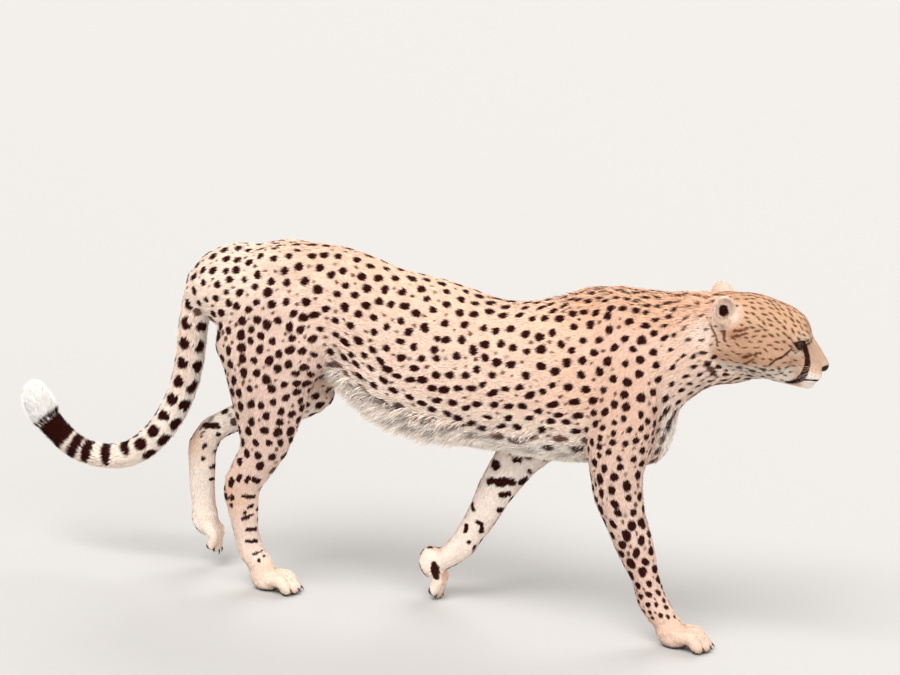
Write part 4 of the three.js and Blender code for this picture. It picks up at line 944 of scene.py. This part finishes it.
def marks_and_ear_shade(p, near_spot, which, part_gone, part_angle):
    """How far inside a dark mark each point lies, the painted shade in the ears' hollows among them, how
    dark it is, and how bare the skin is there.
    """
    value, dark = spots(p, near_spot)
    bare = np.full(len(p), AWAY)

    def add(new, darkness, where=None):
        new = new if where is None else np.where(where, new, AWAY)
        better = new > np.maximum(value, -4) if darkness >= 0.99 else (new > value) & (new > -4)
        value[better], dark[better] = new[better], darkness

    def strip(new, where):
        bare[:] = np.maximum(bare, np.where(where, new, AWAY))

    h = head_frame.inside(p)
    near = box_away(h, *MARK_BOX) < 0
    x, y, z = h[:, 0], np.abs(h[:, 1]), h[:, 2]
    wave = 0.9 * value_noise(p, 5, 5)
    for dash_x, dash_z, dash_long, dash_wide in DASHES:
        dx, dz = x - dash_x, z - dash_z
        r = np.hypot((dx + 0.25 * dz) / dash_long, (dz - 0.2 * dx) / dash_wide)
        add(dash_wide * (1 - r) + wave * 0.5, 0.92, near & (y > 6))
    for points, darkness in STROKES:
        add(stroke(x, z, points) + (wave if darkness > 0.8 else 2.6 * wave), darkness, near & (y > 5))
    for row in range(4):
        for i in range(4):
            at_x, at_z = whisker_root(row, i)
            add(1.3 - np.hypot(x - at_x, z - at_z), 0.5, near & (y > 12))
    # nose, lips and lids are bare and black
    strip(np.min([x - 133 - 0.25 * (z + 15), 15 - y, -6.5 - z - 0.03 * y * y, z + 26], axis=0), near)
    strip(np.min([2.1 - np.abs(z - mouth_line(h)), x - 80], axis=0), near)
    strip(np.min([1.5 - y, x - 128, -22 - z, z + 45], axis=0), near)
    for side in (1, -1):
        r = eyes[side].inside(h)
        rim = SLIT_H * (1 - (r[:, 1] / SLIT_L) ** 2)
        far = length_of(r)
        lid = np.min([rim + 3.4 - np.abs(r[:, 2]), 19 - np.abs(r[:, 1]), r[:, 0] - 2, 27 - far], axis=0)
        strip(lid, near)
        # no spots on the ear: a dark patch behind it, and painted shade inside its hollow
        r = ears[side].inside(h)
        own = near & (length_of(r - EAR_MIDDLE) < 40)
        shell = ear_shell(r)
        clean = own & (value < 12)
        value[clean], dark[clean] = -20, 0
        behind = np.min([shell + 2.4, -3 - r[:, 0], r[:, 2] + 4, 12 - r[:, 2], 9 - shell], axis=0)
        add(behind + wave, 0.95, own)
        # painted shade: the ear's hollow is painted as dark as a spot, where shade falls into it
        inside = 10 * (1 - np.hypot(r[:, 1] / 10.5, (r[:, 2] - 17) / 13))
        add(np.min([inside, r[:, 0] + 16, -2.4 - shell], axis=0) + wave, 1.0, own)
    # pads under the feet
    for name, (_, frame_) in paws.items():
        r = frame_.inside(p) / PAWS[name][3]
        middle = 1 - np.hypot((r[:, 0] + 2) / 24, r[:, 1] / 22)
        toes = np.max([1 - np.hypot((r[:, 0] - length + 9) / 12, (r[:, 1] - lie * TOE_SPREAD) / 9)
                       for lie, length in TOES], axis=0)
        pads = np.min([np.maximum(middle, toes) * 9, 7.5 - r[:, 2]], axis=0)
        strip(pads, box_away(r, *PAD_BOX) < 0)
    add(bare, 1.0)
    for name, leg in legs.items():
        on_leg = np.nonzero(which == index[name])[0]
        up = leg.mark[-1] - part_gone[on_leg]
        out = part_angle[on_leg] * SIDE[index[name]] * LEG_GIRTH
        new = np.full(len(p), AWAY)
        for points in LEG_MARKS[name[:4]]:
            one = stroke(up, out, [(a, b * LEG_GIRTH, w) for a, b, w in points])
            new[on_leg] = np.maximum(new[on_leg], one)
        add(new + 1.2 + 0.6 * wave, 1.0)
    # the tail: rings of spots, then bars, then black up to the white tip
    tail_here = which == index["tail"]
    ring = np.round((part_gone - RING_FROM) / RING_EVERY)
    ring_at = RING_FROM + RING_EVERY * np.clip(ring, -1, 8)
    larger = 1 + 0.12 * step(240, 400, part_gone)
    for i, at_angle in enumerate((-1.85, -0.62, 0.62, 1.85, 3.14)):
        off = wrapped(part_angle - at_angle) * TAIL_GIRTH
        shift = 5 * math.sin(2.1 * i)
        r = np.hypot((part_gone - ring_at - shift) / RING_LONG, off / RING_WIDE) / larger
        add(np.minimum(RING_WIDE * (1 - r) + wave, RING_END - part_gone), 1.0, tail_here)
    for at_gone, half, reach in BARS:
        off = np.abs(wrapped(part_angle + math.pi + 0.3))
        round_ = half * (1 - (off / reach) ** 4) if reach < ALL_ROUND else half
        new = np.minimum(round_ - np.abs(part_gone - at_gone), (reach - off) * 26)
        add(new + 1.2 * value_noise(p, 12, 6), 1.0, tail_here)
    return value, dark, bare


spot, spot_strength, bare = marks_and_ear_shade(P, near_spots(P), part, gone, angle)


def mark_ink(dark):
    """A mark's colour, and how much of it covers the coat: the paler small marks are brown."""
    warm = (step(0.62, 0.68, dark) * step(0.93, 0.88, dark))[:, None]
    return DARK + (UMBER - DARK) * warm, dark + (0.93 - dark) * warm[:, 0]


# ---- the skin as a piece
def give(mesh, name, values):
    """Adds a number or a colour at each vertex."""
    values = np.asarray(values, np.float32)
    if values.ndim == 1:
        layer = mesh.attributes.new(name, "FLOAT", "POINT")
        layer.data.foreach_set("value", values)
    else:
        layer = mesh.attributes.new(name, "FLOAT_COLOR", "POINT")
        layer.data.foreach_set("color", np.c_[values, np.ones(len(values))].astype(np.float32).ravel())


def dress(obj, look_):
    """Makes an object a piece of the figure, with its look."""
    obj.data.materials.append(look_.material)
    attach(obj, "root")
    return obj


FLESH = [n for n in frame["nodes"] if not n.startswith(("claw", "eye"))]
place(skin_mesh, P)
give(skin_mesh, "tone", tone)
give(skin_mesh, "spot", np.clip(spot, -8, 8))
mark_colour, mark_cover = mark_ink(spot_strength)
give(skin_mesh, "mark", mark_colour)
give(skin_mesh, "strength", mark_cover)
give(skin_mesh, "bare", np.clip(bare, -8, 8))
skin = add_object(skin_mesh)


# ---- materials
class Look:
    """A material, with the nodes and the values that its shader gets."""

    def __init__(self, name):
        self.material = bpy.data.materials.new(name)
        self.material.use_nodes = True
        self.tree = self.material.node_tree
        self.shader = self.tree.nodes["Principled BSDF"]

    def feed(self, socket, value):
        """Links a socket to another, or sets its number or colour."""
        if isinstance(value, bpy.types.NodeSocket):
            self.tree.links.new(value, socket)
        elif np.ndim(value):
            socket.default_value = (*value, 1.0)
        else:
            socket.default_value = value

    def shade(self, **values):
        """Feeds the shader's sockets, which are named here with _ for a space."""
        for name, value in values.items():
            self.feed(self.shader.inputs[name.replace("_", " ")], value)

    def node(self, kind, inputs, output=0, **settings):
        made = self.tree.nodes.new("ShaderNode" + kind)
        for name, value in settings.items():
            setattr(made, name, value)
        for name, value in inputs.items():
            self.feed(made.inputs[name], value)
        return made.outputs[output]

    def mix(self, factor, a, b):
        return self.node("Mix", {0: factor, 6: a, 7: b}, 2, data_type="RGBA")

    def attribute(self, name, output="Fac"):
        return self.node("Attribute", {}, output, attribute_name=name)

    def band(self, value, low, high, to_low=0.0, to_high=1.0):
        ends = {0: value, 1: low, 2: high, 3: to_low, 4: to_high}
        return self.node("MapRange", ends, interpolation_type="SMOOTHSTEP")

    def math(self, operation, a, b):
        return self.node("Math", {0: a, 1: b}, operation=operation)

    def noise(self, scale, detail=3.0):
        at = self.node("TexCoord", {}, "Object")
        return self.node("TexNoise", {"Vector": at, "Scale": scale, "Detail": detail}, "Fac")

    def bump(self, height, strength, distance):
        return self.node("Bump", {"Height": height, "Strength": strength, "Distance": distance})


look = Look("skin")
grain = look.noise(420.0)
ragged = look.math("ADD", look.attribute("spot"), look.band(grain, 0.3, 0.7, -1.2, 1.2))
dark_share = look.math("MULTIPLY", look.band(ragged, -1.0, 1.4), look.attribute("strength"))
coat_tone = look.mix(dark_share, look.attribute("tone", "Color"), look.attribute("mark", "Color"))
coat_tone = look.mix(look.band(grain, 0.35, 0.7, 0.25, 0.0), coat_tone, BROWN * 0.7)
bare_share = look.band(look.attribute("bare"), -0.6, 0.5)
pores = look.node("TexVoronoi", {"Scale": 900.0}, "Distance")
look.shade(Base_Color=look.mix(bare_share, coat_tone, BLACK),
           Roughness=look.band(bare_share, 0, 1, 0.8, 0.38), Specular_IOR_Level=0.22,
           Normal=look.bump(look.math("ADD", pores, grain), 0.35, 0.0006))
dress(skin, look)
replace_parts(skin, *FLESH)

look = Look("coat")
streak = look.band(look.noise(700.0, 2.0), 0.3, 0.7, 0.9, 1.08)
shade = look.node("VectorMath", {0: look.attribute("coat", "Color"), "Scale": streak}, operation="SCALE")
look.shade(Base_Color=shade, Roughness=0.62, Specular_IOR_Level=0.05, Sheen_Weight=0.02, Sheen_Roughness=0.4)
coat_look = look


# ---- the coat
face_at = P[F]
area = length_of(np.cross(face_at[:, 1] - face_at[:, 0], face_at[:, 2] - face_at[:, 0])) / 2
shaggy = belly_edge * step(50, 110, X)
ruff = on_trunk * step(0.3, 0.8, N[:, 0]) * step(690, 730, X)
crest = (on_neck + on_trunk) * step(0.5, 0.1, top_turn)
crest = crest * step(480, 600, X) * step(900, 800, X)
low_leg = legs_part * step(300, 120, Z)
# A region's hair: its length, its width and how far its tip rises from the skin, as a share of the length.
hair_long, hair_wide, hair_rise = blend((10, 1.9, 0.22), [
    (on_neck, 9.5, 1.7), (on_tail, 12, None, 0.34), (legs_part, 9, 1.7), (low_leg, 7, 1.4, 0.2),
    (legs_part * step(70, 40, Z), 5, 1.15), (thigh, 10), (head_part, 6, 1.05, 0.16),
    (head_part * step(10, 60, hx), 4.6, 0.9), (head_part * step(70, 100, hx), 3.4, 0.75), (ear_near, 5, 0.8),
    (crest, 15, 1.8, 0.26), (ruff, 13), (shaggy, 17, None, 0.4), (on_tail * step(560, 740, gone), 15),
])
ROOT_DEEP = 0.4  # how far a hair's root lies under the skin
PATCH = 0.003    # the side of a tuft's place on the map


def chart(p_gone, p_angle):
    """The skin unrolled: along the part and round it, filling the map."""
    low, high = p_gone.min(), p_gone.max()
    share_ = np.stack([(p_gone - low) / (high - low), p_angle / (2 * math.pi) + 0.5], 1)
    return 0.005 + 0.985 * share_


class Roots:
    """Seeded roots over the chosen faces, and what the skin says at each."""

    def __init__(self, chosen, count):
        size_ = hair_long[F[chosen]].mean(1) * hair_wide[F[chosen]].mean(1)
        total = np.cumsum(area[chosen] / size_)
        self.corners = F[chosen[np.searchsorted(total, rng.random(count) * total[-1])]]
        a, b = np.sqrt(rng.random(count)), rng.random(count)
        self.share = np.stack([1 - a, a * (1 - b), a * b], 1)
        self.place, self.normal, self.lie = self.at(P), unit(self.at(N)), unit(self.at(way))
        self.part = part[self.corners[:, 0]]
        self.gone, self.angle = self.at(gone), np.arctan2(self.at(sine), self.at(cosine))
        self.flat = chart(self.gone, angle[self.corners[:, 0]])

    def at(self, values):
        share_ = self.share if values.ndim == 1 else self.share[:, :, None]
        return (values[self.corners] * share_).sum(1)


def strips(name, path, width, side, colours, flat):
    """One mesh of many thin tufts, each a strip along its path that ends in a point."""
    n, k = path.shape[:2]
    half = side * width[:, None] / 2
    points = []
    for i in range(k - 1):
        w = half * (1 - 0.45 * (i / (k - 1)) ** 1.5)
        points += [path[:, i] - w, path[:, i] + w]
    points = np.stack([*points, path[:, -1]], 1)
    per = 2 * (k - 1) + 1
    tris = []
    for a in range(0, per - 3, 2):
        tris += [[a, a + 1, a + 3], [a, a + 3, a + 2]]
    tris = np.array([*tris, [per - 3, per - 2, per - 1]])
    first = np.arange(n) * per
    faces = (first[:, None, None] + tris).reshape(-1, 3)
    mesh = mesh_from(name, to_frame(points.reshape(-1, 3)), faces)
    twice = [2] * (k - 1) + [1]
    give(mesh, "coat", np.repeat(colours, twice, axis=1).reshape(-1, 3))
    # each tuft is a small patch of the map at its root's place
    along = np.repeat(np.linspace(0, 1, k), twice)
    across = np.array([0, 1] * (k - 1) + [0.5])
    places = (flat[:, None] + PATCH * np.stack([along, across], 1)).reshape(-1, 2)
    layer = mesh.uv_layers.new(name="OFBake")
    layer.uv.foreach_set("vector", places[faces.ravel()].astype(np.float32).ravel())
    return dress(add_object(mesh), coat_look)


def coat(name, chosen, count):
    roots = Roots(chosen, count)
    normal, lie = roots.normal, roots.lie
    stray = rng.normal(0, 0.16, count) + 0.22 * value_noise(roots.place, 9, 21)
    lie = unit(lie + stray[:, None] * np.cross(normal, lie))
    length = roots.at(hair_long) * rng.uniform(0.7, 1.25, count) * 1
    width = roots.at(hair_wide) * rng.uniform(0.7, 1.3, count) * 1
    rise = length * roots.at(hair_rise) * rng.uniform(0.5, 1.3, count)
    root = roots.place - normal * ROOT_DEEP
    tip = root + lie * length[:, None] + normal * rise[:, None]
    # the tip stays at its height over the skin where that bends away or towards it
    fix = rise - ROOT_DEEP - skin_form(tip)
    tip = tip + normal * np.clip(fix, -4, 4)[:, None]
    middle = (root + tip) / 2 + normal * (0.25 * rise + 0.12 * np.abs(fix))[:, None]
    roll = rng.normal(0, 0.3, count)[:, None]
    side = unit(np.cross(normal, lie) + roll * normal)
    near = near_spots(root + lie * (0.5 * length)[:, None])
    light = rng.uniform(0.9, 1.08, count) * (1 + 0.06 * value_noise(root, 11, 22))
    jitter, own_tone = rng.normal(0, 0.45, count), roots.at(tone)
    keep = roots.at(bare) < -0.2
    shades = []
    for place_, share_ in ((middle, 0.5), (tip, 0.9)):
        value, dark, bare_there = marks_and_ear_shade(place_, near, roots.part, roots.gone + share_ * length, roots.angle)
        keep &= bare_there < 1.2
        mark, cover = mark_ink(dark)
        shades.append(own_tone + (mark - own_tone) * (step(-1.1, 0.9, value + jitter) * cover)[:, None])
    # the root is in the shade of the others, and the tip in the light
    lit = light[:, None] * np.array([0.74, 1.0, 1.08])
    colours = np.stack([shades[0], *shades], 1) * lit[:, :, None]
    path = np.stack([root, middle, tip], 1)
    return strips(name, path[keep], width[keep], side[keep], colours[keep], roots.flat[keep])


face_part = part[F[:, 0]]
left, front = P[F[:, 0], 1] > 0, P[F[:, 0], 0] > 280
every = np.arange(len(F))


def coat_of(name, count):
    coat(f"coat_{name}", every[face_part == index[name]], count)


coat_of("head", 66000)
coat_of("neck", 40000)
for name, where in (("left", left), ("right", ~left)):
    body_side = (face_part == index["torso"]) & where
    coat(f"coat_chest_{name}", every[body_side & front], 42000)
    coat(f"coat_flank_{name}", every[body_side & ~front], 42000)
for name, count in (("fore_right", 30000), ("fore_left", 30000), ("hind_right", 32000), ("hind_left", 32000),
                    ("tail", 26000)):
    coat_of(name, count)


# ---- long hair: fringe, ruff, crest, ears and tail tip
def locks(name, chosen, count, length, width, lead, leave=0.5, gather=0.7, per_clump=14, curl=0.12):
    """Hairs that leave along the coat, turn towards the lead and lean together in clumps."""
    roots = Roots(chosen, count)
    root, normal = roots.place, roots.normal
    lead = unit(lead(normal)) if callable(lead) else np.array(lead, float)
    reach = (length(root) if callable(length) else length) * rng.uniform(0.75, 1.2, count)
    first = unit(roots.lie + leave * normal + rng.normal(0, 0.16, (count, 3)))
    last = unit(lead + rng.normal(0, curl, (count, 3)))
    middles = root[:max(2, count // per_clump)]
    clumps = tree_of(middles)
    own = middles[[clumps.find(co)[1] for co in root]]
    path = [root - normal * ROOT_DEEP]
    for t in (1 / 6, 3 / 6, 5 / 6):
        path.append(path[-1] + unit(first * (1 - t) + last * t) * (reach / 3)[:, None])
    path = np.stack(path, 1)
    path += (own - root)[:, None] * (gather * (np.arange(4) / 3) ** 1.4)[None, :, None]
    side = unit(np.cross(normal, last) + rng.normal(0, 0.35, (count, 3)))
    value, dark, _ = marks_and_ear_shade(root, near_spots(root), roots.part, roots.gone, roots.angle)
    amount = step(-1.1, 0.9, value + rng.normal(0, 1.2, count)) * dark
    colour = roots.at(tone)
    colour = colour + (DARK - colour) * amount[:, None]
    # each lock is painted darker at its root as painted shade and lighter towards its tip as painted light,
    # and each is a little lighter or darker at random
    light = rng.uniform(0.88, 1.1, count)[:, None] * np.array([0.86, 1.0, 1.07, 1.12])
    widths = width * rng.uniform(0.7, 1.3, count) * 1
    return strips(name, path, widths, side, colour[:, None] * light[:, :, None], roots.flat)


def faces_where(value, low):
    return every[value[F].mean(1) > low]


def fringe_long(p):
    """The belly's long hair: uneven, and shorter towards the elbow."""
    return 30 + 13 * value_noise(p, 24, 31) - 17 * step(300, 470, p[:, 0])


def from_tail(normal):
    return tail.along[-1] + 0.7 * normal


locks("fringe", faces_where(shaggy * step(-0.2, -0.5, N[:, 2]), 0.3), 13000, fringe_long, 1.5,
      (-0.62, 0, -0.78), 0.35, 0.5, 8, 0.24)
locks("ruff", faces_where(ruff, 0.4), 3000, 17, 1.4, (-0.25, 0, -0.97), 0.1, 0.4)
locks("crest", faces_where(crest * step(0.35, 0.1, top_turn), 0.5), 2600, 20, 1.4, (-1.0, 0, 0.06), 0.1, 0.5)
tail_end = (part == index["tail"]) * step(698, 724, gone)
locks("tail_tuft", faces_where(tail_end, 0.5), 5600, 20, 1.4, from_tail, 0.35, 0.4)
for name, k in SIDES.items():
    r = ears[k].inside(H)
    mouth_of_ear = (length_of(r - EAR_MIDDLE) < 34) & (r[:, 0] > -2) & (r[:, 1] * k > -4)
    across_ear = np.array([0.5, -k, 0.9]) @ ears[k].axes @ head_frame.axes
    chosen = faces_where(mouth_of_ear.astype(float), 0.6)
    locks(f"ear_hair_{name}", chosen, 500, 9, 0.7, across_ear, 0.2, 0.3)


# ---- eyes, whiskers and claws
look = Look("eye")
off_axis = look.attribute("off_axis")
fibres = look.node("TexNoise", {"Scale": 900.0, "Detail": 3.0}, "Fac")
iris = look.mix(look.band(fibres, 0.3, 0.7), ink(50, 25, 9), ink(92, 50, 18))
iris = look.mix(look.band(off_axis, 6.4, 8.8), iris, ink(22, 12, 8))
iris = look.mix(look.band(off_axis, 3.0, 3.7), ink(4, 3, 3), iris)
iris = look.mix(look.band(off_axis, 8.8, 10.5), iris, ink(30, 18, 14))
look.shade(Base_Color=iris, Roughness=0.06, Specular_IOR_Level=0.16)


def globe(sides, rings):
    """A ball of radius 1: its rings of points from the top down, then its poles, and its faces."""
    fall, turn_ = lattice(np.arange(1, rings) * math.pi / rings, np.arange(sides) * 2 * math.pi / sides).T
    points = np.stack([np.sin(fall) * np.cos(turn_), np.sin(fall) * np.sin(turn_), np.cos(fall)], 1)
    top, last = len(points), len(points) - sides
    faces = []
    for a in range(sides):
        b = (a + 1) % sides
        for ring in range(0, last, sides):
            faces += [[ring + a, ring + sides + a, ring + sides + b], [ring + a, ring + sides + b, ring + b]]
        faces += [[top, a, b], [top + 1, last + b, last + a]]
    return np.array([*points, (0, 0, 1), (0, 0, -1)]), np.array(faces)


ball, ball_faces = globe(56, 40)
# the distance from the eye's axis, and far off at the back of the ball
off = np.hypot(ball[:, 0], ball[:, 1]) * EYE_R + np.where(ball[:, 2] < 0, 40, 0)
cornea = 1.5 * np.maximum(1 - (off / 8.5) ** 2, 0)
ball = ball * (EYE_R - 0.1 + cornea)[:, None]
for name, k in SIDES.items():
    gaze = eyes[k].axes
    points = head_frame.outside(eyes[k].at + ball @ np.array([gaze[1], gaze[2], gaze[0]]))
    mesh = mesh_from(f"eyeball_{name}", to_frame(points), ball_faces)
    give(mesh, "off_axis", off)
    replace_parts(dress(add_object(mesh), look), f"eye_{name}")


class Rods:
    """One mesh of thin round bodies, each along its own path."""

    def __init__(self, sides):
        self.sides, self.points, self.faces = sides, [], []

    def add(self, path, one, two, radii):
        """Rings in the two ways across the path."""
        k, first = self.sides, len(self.points)
        for at_, x, y, r in zip(path, one, two, radii):
            for a in np.arange(k) * 2 * math.pi / k:
                self.points.append(at_ + r * math.cos(a) * x + r * math.sin(a) * y)
        for i in range(len(path) - 1):
            for j in range(k):
                a, b = first + k * i + j, first + k * i + (j + 1) % k
                self.faces += [[a, b, b + k], [a, b + k, a + k]]

    def close(self):
        """Faces over the last ring."""
        last = len(self.points) - self.sides
        self.faces += [[last, last + j, last + j + 1] for j in range(1, self.sides - 1)]

    def piece(self, name, points, look_, slot):
        return dress(add_object(mesh_from(name, to_frame(points), np.array(self.faces))), look_)


look = Look("whisker")
look.shade(Base_Color=look.mix(look.noise(300.0), ink(238, 232, 222), ink(250, 248, 244)), Roughness=0.45)
rods = Rods(3)
for k in (1, -1):
    pad = np.nonzero((H[:, 1] * k > 9) & (hx > 85) & (bare < -1))[0]
    for row in range(4):
        for i in range(3):
            root_x, root_z = whisker_root(row, i)
            nearest = pad[np.argmin(np.hypot(hx[pad] - root_x, hz[pad] - root_z))]
            reach = rng.uniform(30, 52)
            out = unit(np.array([-0.25 - 0.12 * i, k * 0.6, 0.06 - 0.14 * row]) + rng.normal(0, 0.06, 3))
            t = np.linspace(0, 1, 7)[:, None]
            curve = H[nearest] + out * reach * t + np.array([-0.35, 0, -0.3]) * reach * 0.5 * t * t
            curve = head_frame.outside(curve)
            along = unit(np.gradient(curve, axis=0))
            one = unit(np.cross(along, np.array([0.1, 0.2, 1])))
            rods.add(curve, one, np.cross(along, one), np.linspace(0.22, 0.022, 7))
rods.piece("whiskers", np.array(rods.points), look, "pale_coat")


def claws(name, frame_, scale):
    """Four curved claws of one foot, thinner and rounder than the solids they stand for."""
    rods = Rods(10)
    for lie, length in TOES:
        y = lie * TOE_SPREAD
        line = spline([(length - 6, y, 13.5), (length + 2, y, 13.6), (length + 7, y, 10.8),
                       (length + 9.5, y, 6.5)], 1.6)
        radii = 2.9 * (1 - np.linspace(0, 1, len(line)) ** 1.6) + 0.25
        one = unit(np.cross(unit(np.gradient(line, axis=0)), np.array([0, 1, 0])))
        rods.add(line, one, np.array([[0, 0.62, 0]] * len(line)), radii)
        rods.close()
    at_ = frame_.outside(np.array(rods.points) * scale)
    at_[:, 2] = np.maximum(at_[:, 2], 0.6)
    piece = rods.piece(f"claws_{name}", at_, look, "claw")
    kind, side = name.split("_")
    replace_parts(piece, *[f"claw_{kind}paw_{side}_{i + 1}" for i in range(len(TOES))])


look = Look("claw")
look.shade(Base_Color=look.mix(look.noise(350.0), ink(30, 23, 20), ink(74, 58, 48)), Roughness=0.35,
           Normal=look.bump(look.noise(900.0), 0.2, 0.0003))
for name, (_, frame_) in paws.items():
    claws(name, frame_, PAWS[name][3])


# ---- the floor, the light and the camera
corners = np.array([(-30, -30, 0), (30, -30, 0), (30, 30, 0), (-30, 30, 0)])
floor = add_object(mesh_from("floor", corners, np.array([[0, 1, 2, 3]])))
look = Look("floor")
look.shade(Base_Color=(0.47, 0.46, 0.45), Roughness=0.9)
floor.data.materials.append(look.material)


def sun(name, toward, power, soft, colour=(1, 1, 1)):
    """Even light from far off; soft is its width in degrees."""
    light = bpy.data.lights.new(name, "SUN")
    light.energy, light.angle, light.color = power, math.radians(soft), colour
    obj = bpy.data.objects.new(name, light)
    bpy.context.scene.collection.objects.link(obj)
    obj.location = (0, 0, 4)
    obj.rotation_euler = Vector(toward).to_track_quat("-Z", "Y").to_euler()


sun("key", (1.3, 2.4, -4.6), 2.65, 34, (1.0, 0.98, 0.95))
sun("fill", (-3.4, 3.0, -1.8), 1.1, 50)
sun("back", (-0.5, -3.6, -2.9), 1.5, 40)
world = bpy.data.worlds.new("world")
world.use_nodes = True
sky = world.node_tree.nodes["Background"]
sky.inputs["Color"].default_value = (1.0, 0.98, 0.96, 1)
sky.inputs["Strength"].default_value = 0.68
bpy.context.scene.world = world
bpy.context.scene.view_settings.view_transform = "Standard"

# The camera of the photo: its turn, its height and its roll, and its distance in metres.
YAW, LIFT, ROLL, AWAY = math.radians(14), math.radians(15), math.radians(3.2), 7.0
LENS, SENSOR, AIM = 138.6, 36, (328.1, 0, 567.1)
back = Vector((math.sin(YAW) * math.cos(LIFT), -math.cos(YAW) * math.cos(LIFT), math.sin(LIFT)))
right = Vector((math.cos(YAW), math.sin(YAW), 0))
up = back.cross(right)
camera = bpy.data.objects.new("camera", bpy.data.cameras.new("camera"))
bpy.context.scene.collection.objects.link(camera)
camera.data.lens, camera.data.sensor_width = LENS, SENSOR
across = right * math.cos(ROLL) + up * math.sin(ROLL)
above = up * math.cos(ROLL) - right * math.sin(ROLL)
target = Vector(to_frame(AIM))
turned_to = Matrix((across, above, back)).transposed().to_4x4()
camera.matrix_world = Matrix.Translation(target + back * AWAY) @ turned_to
bpy.context.scene.camera = camera
